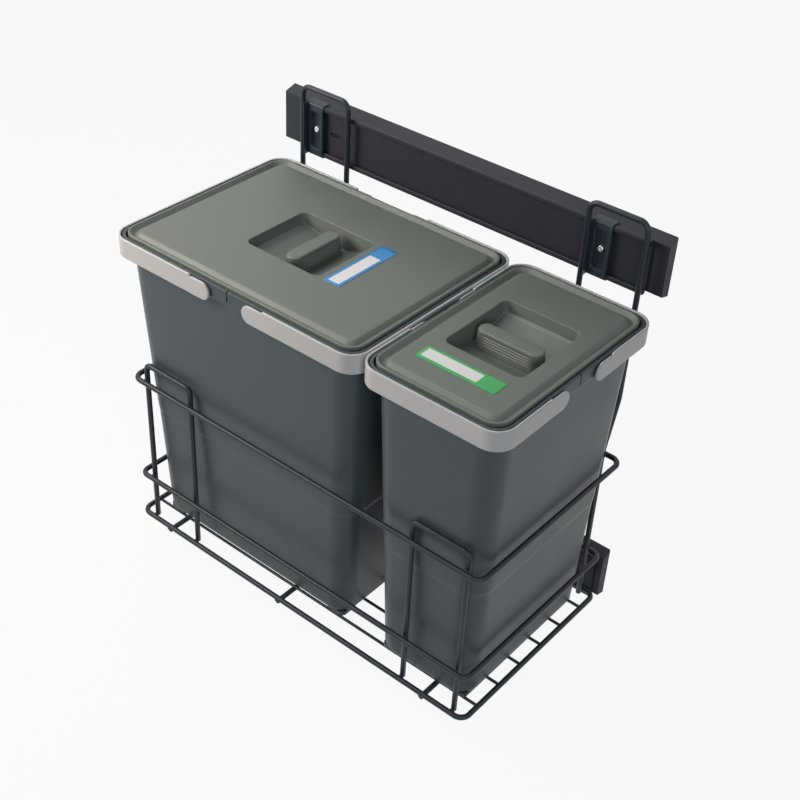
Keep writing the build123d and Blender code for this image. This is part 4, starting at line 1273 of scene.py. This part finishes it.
@dataclass(frozen=True)
class Softbox:
    """A square area lamp that faces a point of the object."""

    name: str
    place: tuple[float, float, float]
    size: float
    power: float
    target: tuple[float, float, float] = (0.0, -0.16, -0.2)
    tint: str = "#FFFFFF"

    def build(self) -> None:
        """Make the lamp."""
        data = bpy.data.lights.new(self.name, "AREA")
        data.shape, data.size, data.energy = "SQUARE", self.size, self.power
        data.color = linear(self.tint)[:3]
        lamp = linked(self.name, data)
        lamp.location = self.place
        aim = Vector(self.target) - Vector(self.place)
        lamp.rotation_euler = aim.to_track_quat("-Z", "Y").to_euler()


@dataclass
class Studio:
    """Pale floor, white surroundings and soft lamps."""

    ambient: float = 0.09
    floor_gap: float = 2.0
    floor_half: float = 9.0
    floor_glow: float = 0.92
    lamps: tuple[Softbox, ...] = (
        Softbox("key_softbox", (-0.72, -0.78, 0.45), 0.5, 9.0, (-0.24, -0.28, 0.0), "#FFF6EC"),
        Softbox("top_softbox", (-0.9, -0.1, 1.6), 1.2, 12.0),
        Softbox("corner_softbox", (1.3, -1.1, 0.5), 0.45, 5.5, (0.28, -0.26, -0.1), "#F0F7FF"),
    )

    def build(self) -> None:
        """Make the world, the floor and the lamps."""
        scene = bpy.context.scene
        scene.view_settings.view_transform = "Standard"
        scene.world = self.world()
        self.floor()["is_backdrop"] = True
        for lamp in self.lamps:
            lamp.build()

    def shown_white(self, tree: bpy.types.NodeTree) -> bpy.types.NodeSocket:
        """1 on rays that show the surroundings: from the camera, a gloss or a clear body."""
        path = add_node(tree, "LightPath")
        first = add_node(tree, "Math", {
            0: path.outputs["Is Camera Ray"], 1: path.outputs["Is Glossy Ray"]}, operation="MAXIMUM")
        both = add_node(tree, "Math", {0: first.outputs[0], 1: path.outputs["Is Transmission Ray"]},
                        operation="MAXIMUM")
        return both.outputs[0]

    def world(self) -> bpy.types.World:
        """White where it is seen, dimmer where it only lights."""
        world = bpy.data.worlds.new("studio")
        tree = cleared(world)
        strength = add_node(tree, "MapRange", {0: self.shown_white(tree), 3: self.ambient, 4: 1.0})
        back = add_node(tree, "Background", {
            "Color": linear("#FFFFFF"), "Strength": strength.outputs[0]})
        add_node(tree, "OutputWorld", {"Surface": back.outputs[0]})
        return world

    def floor(self) -> bpy.types.Object:
        """A wide pale floor just under the object, mostly white of its own so it stays even."""
        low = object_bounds()[0][2] - self.floor_gap * MM
        half = self.floor_half
        mesh = bpy.data.meshes.new("studio_floor")
        places = [(-half, -half), (half, -half), (half, half), (-half, half)]
        mesh.from_pydata([(x, y, low) for x, y in places], [], [(0, 1, 2, 3)])
        material = bpy.data.materials.new("painted_floor")
        tree = cleared(material)
        paint = add_node(tree, "BsdfDiffuse", {"Color": linear("#C8C8C8")})
        glow = add_node(tree, "Emission", {"Color": linear("#FFFFFF"), "Strength": 1.0})
        share = add_node(tree, "Math", {0: self.shown_white(tree), 1: self.floor_glow},
                         operation="MULTIPLY")
        mix = add_node(tree, "MixShader", {
            0: share.outputs[0], 1: paint.outputs[0], 2: glow.outputs[0]})
        add_node(tree, "OutputMaterial", {"Surface": mix.outputs[0]})
        mesh.materials.append(material)
        return linked("studio_floor", mesh)


def corners(bounds: tuple[Vector, Vector]) -> list[list[float]]:
    """Bounds as plain lists of numbers."""
    return [list(corner) for corner in bounds]


def main() -> None:
    """Build every sub-assembly in order."""
    logging.basicConfig(level=logging.INFO, format="%(name)s %(message)s")
    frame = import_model()
    shop = Workshop()
    Camera().build()
    Basket().build(shop)
    WasteBin("large", 0.0, 26.0, 20.0, BLUE_FILM, Slot.LABEL_BLUE).build(shop)
    WasteBin("small", -90.0, 23.0, 18.0, GREEN_FILM, Slot.LABEL_GREEN).build(shop)
    for name in ("upper", "lower"):
        Slide(name).build(shop, frame["nodes"])
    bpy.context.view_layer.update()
    Studio().build()


if __name__ == "__main__":
    main()
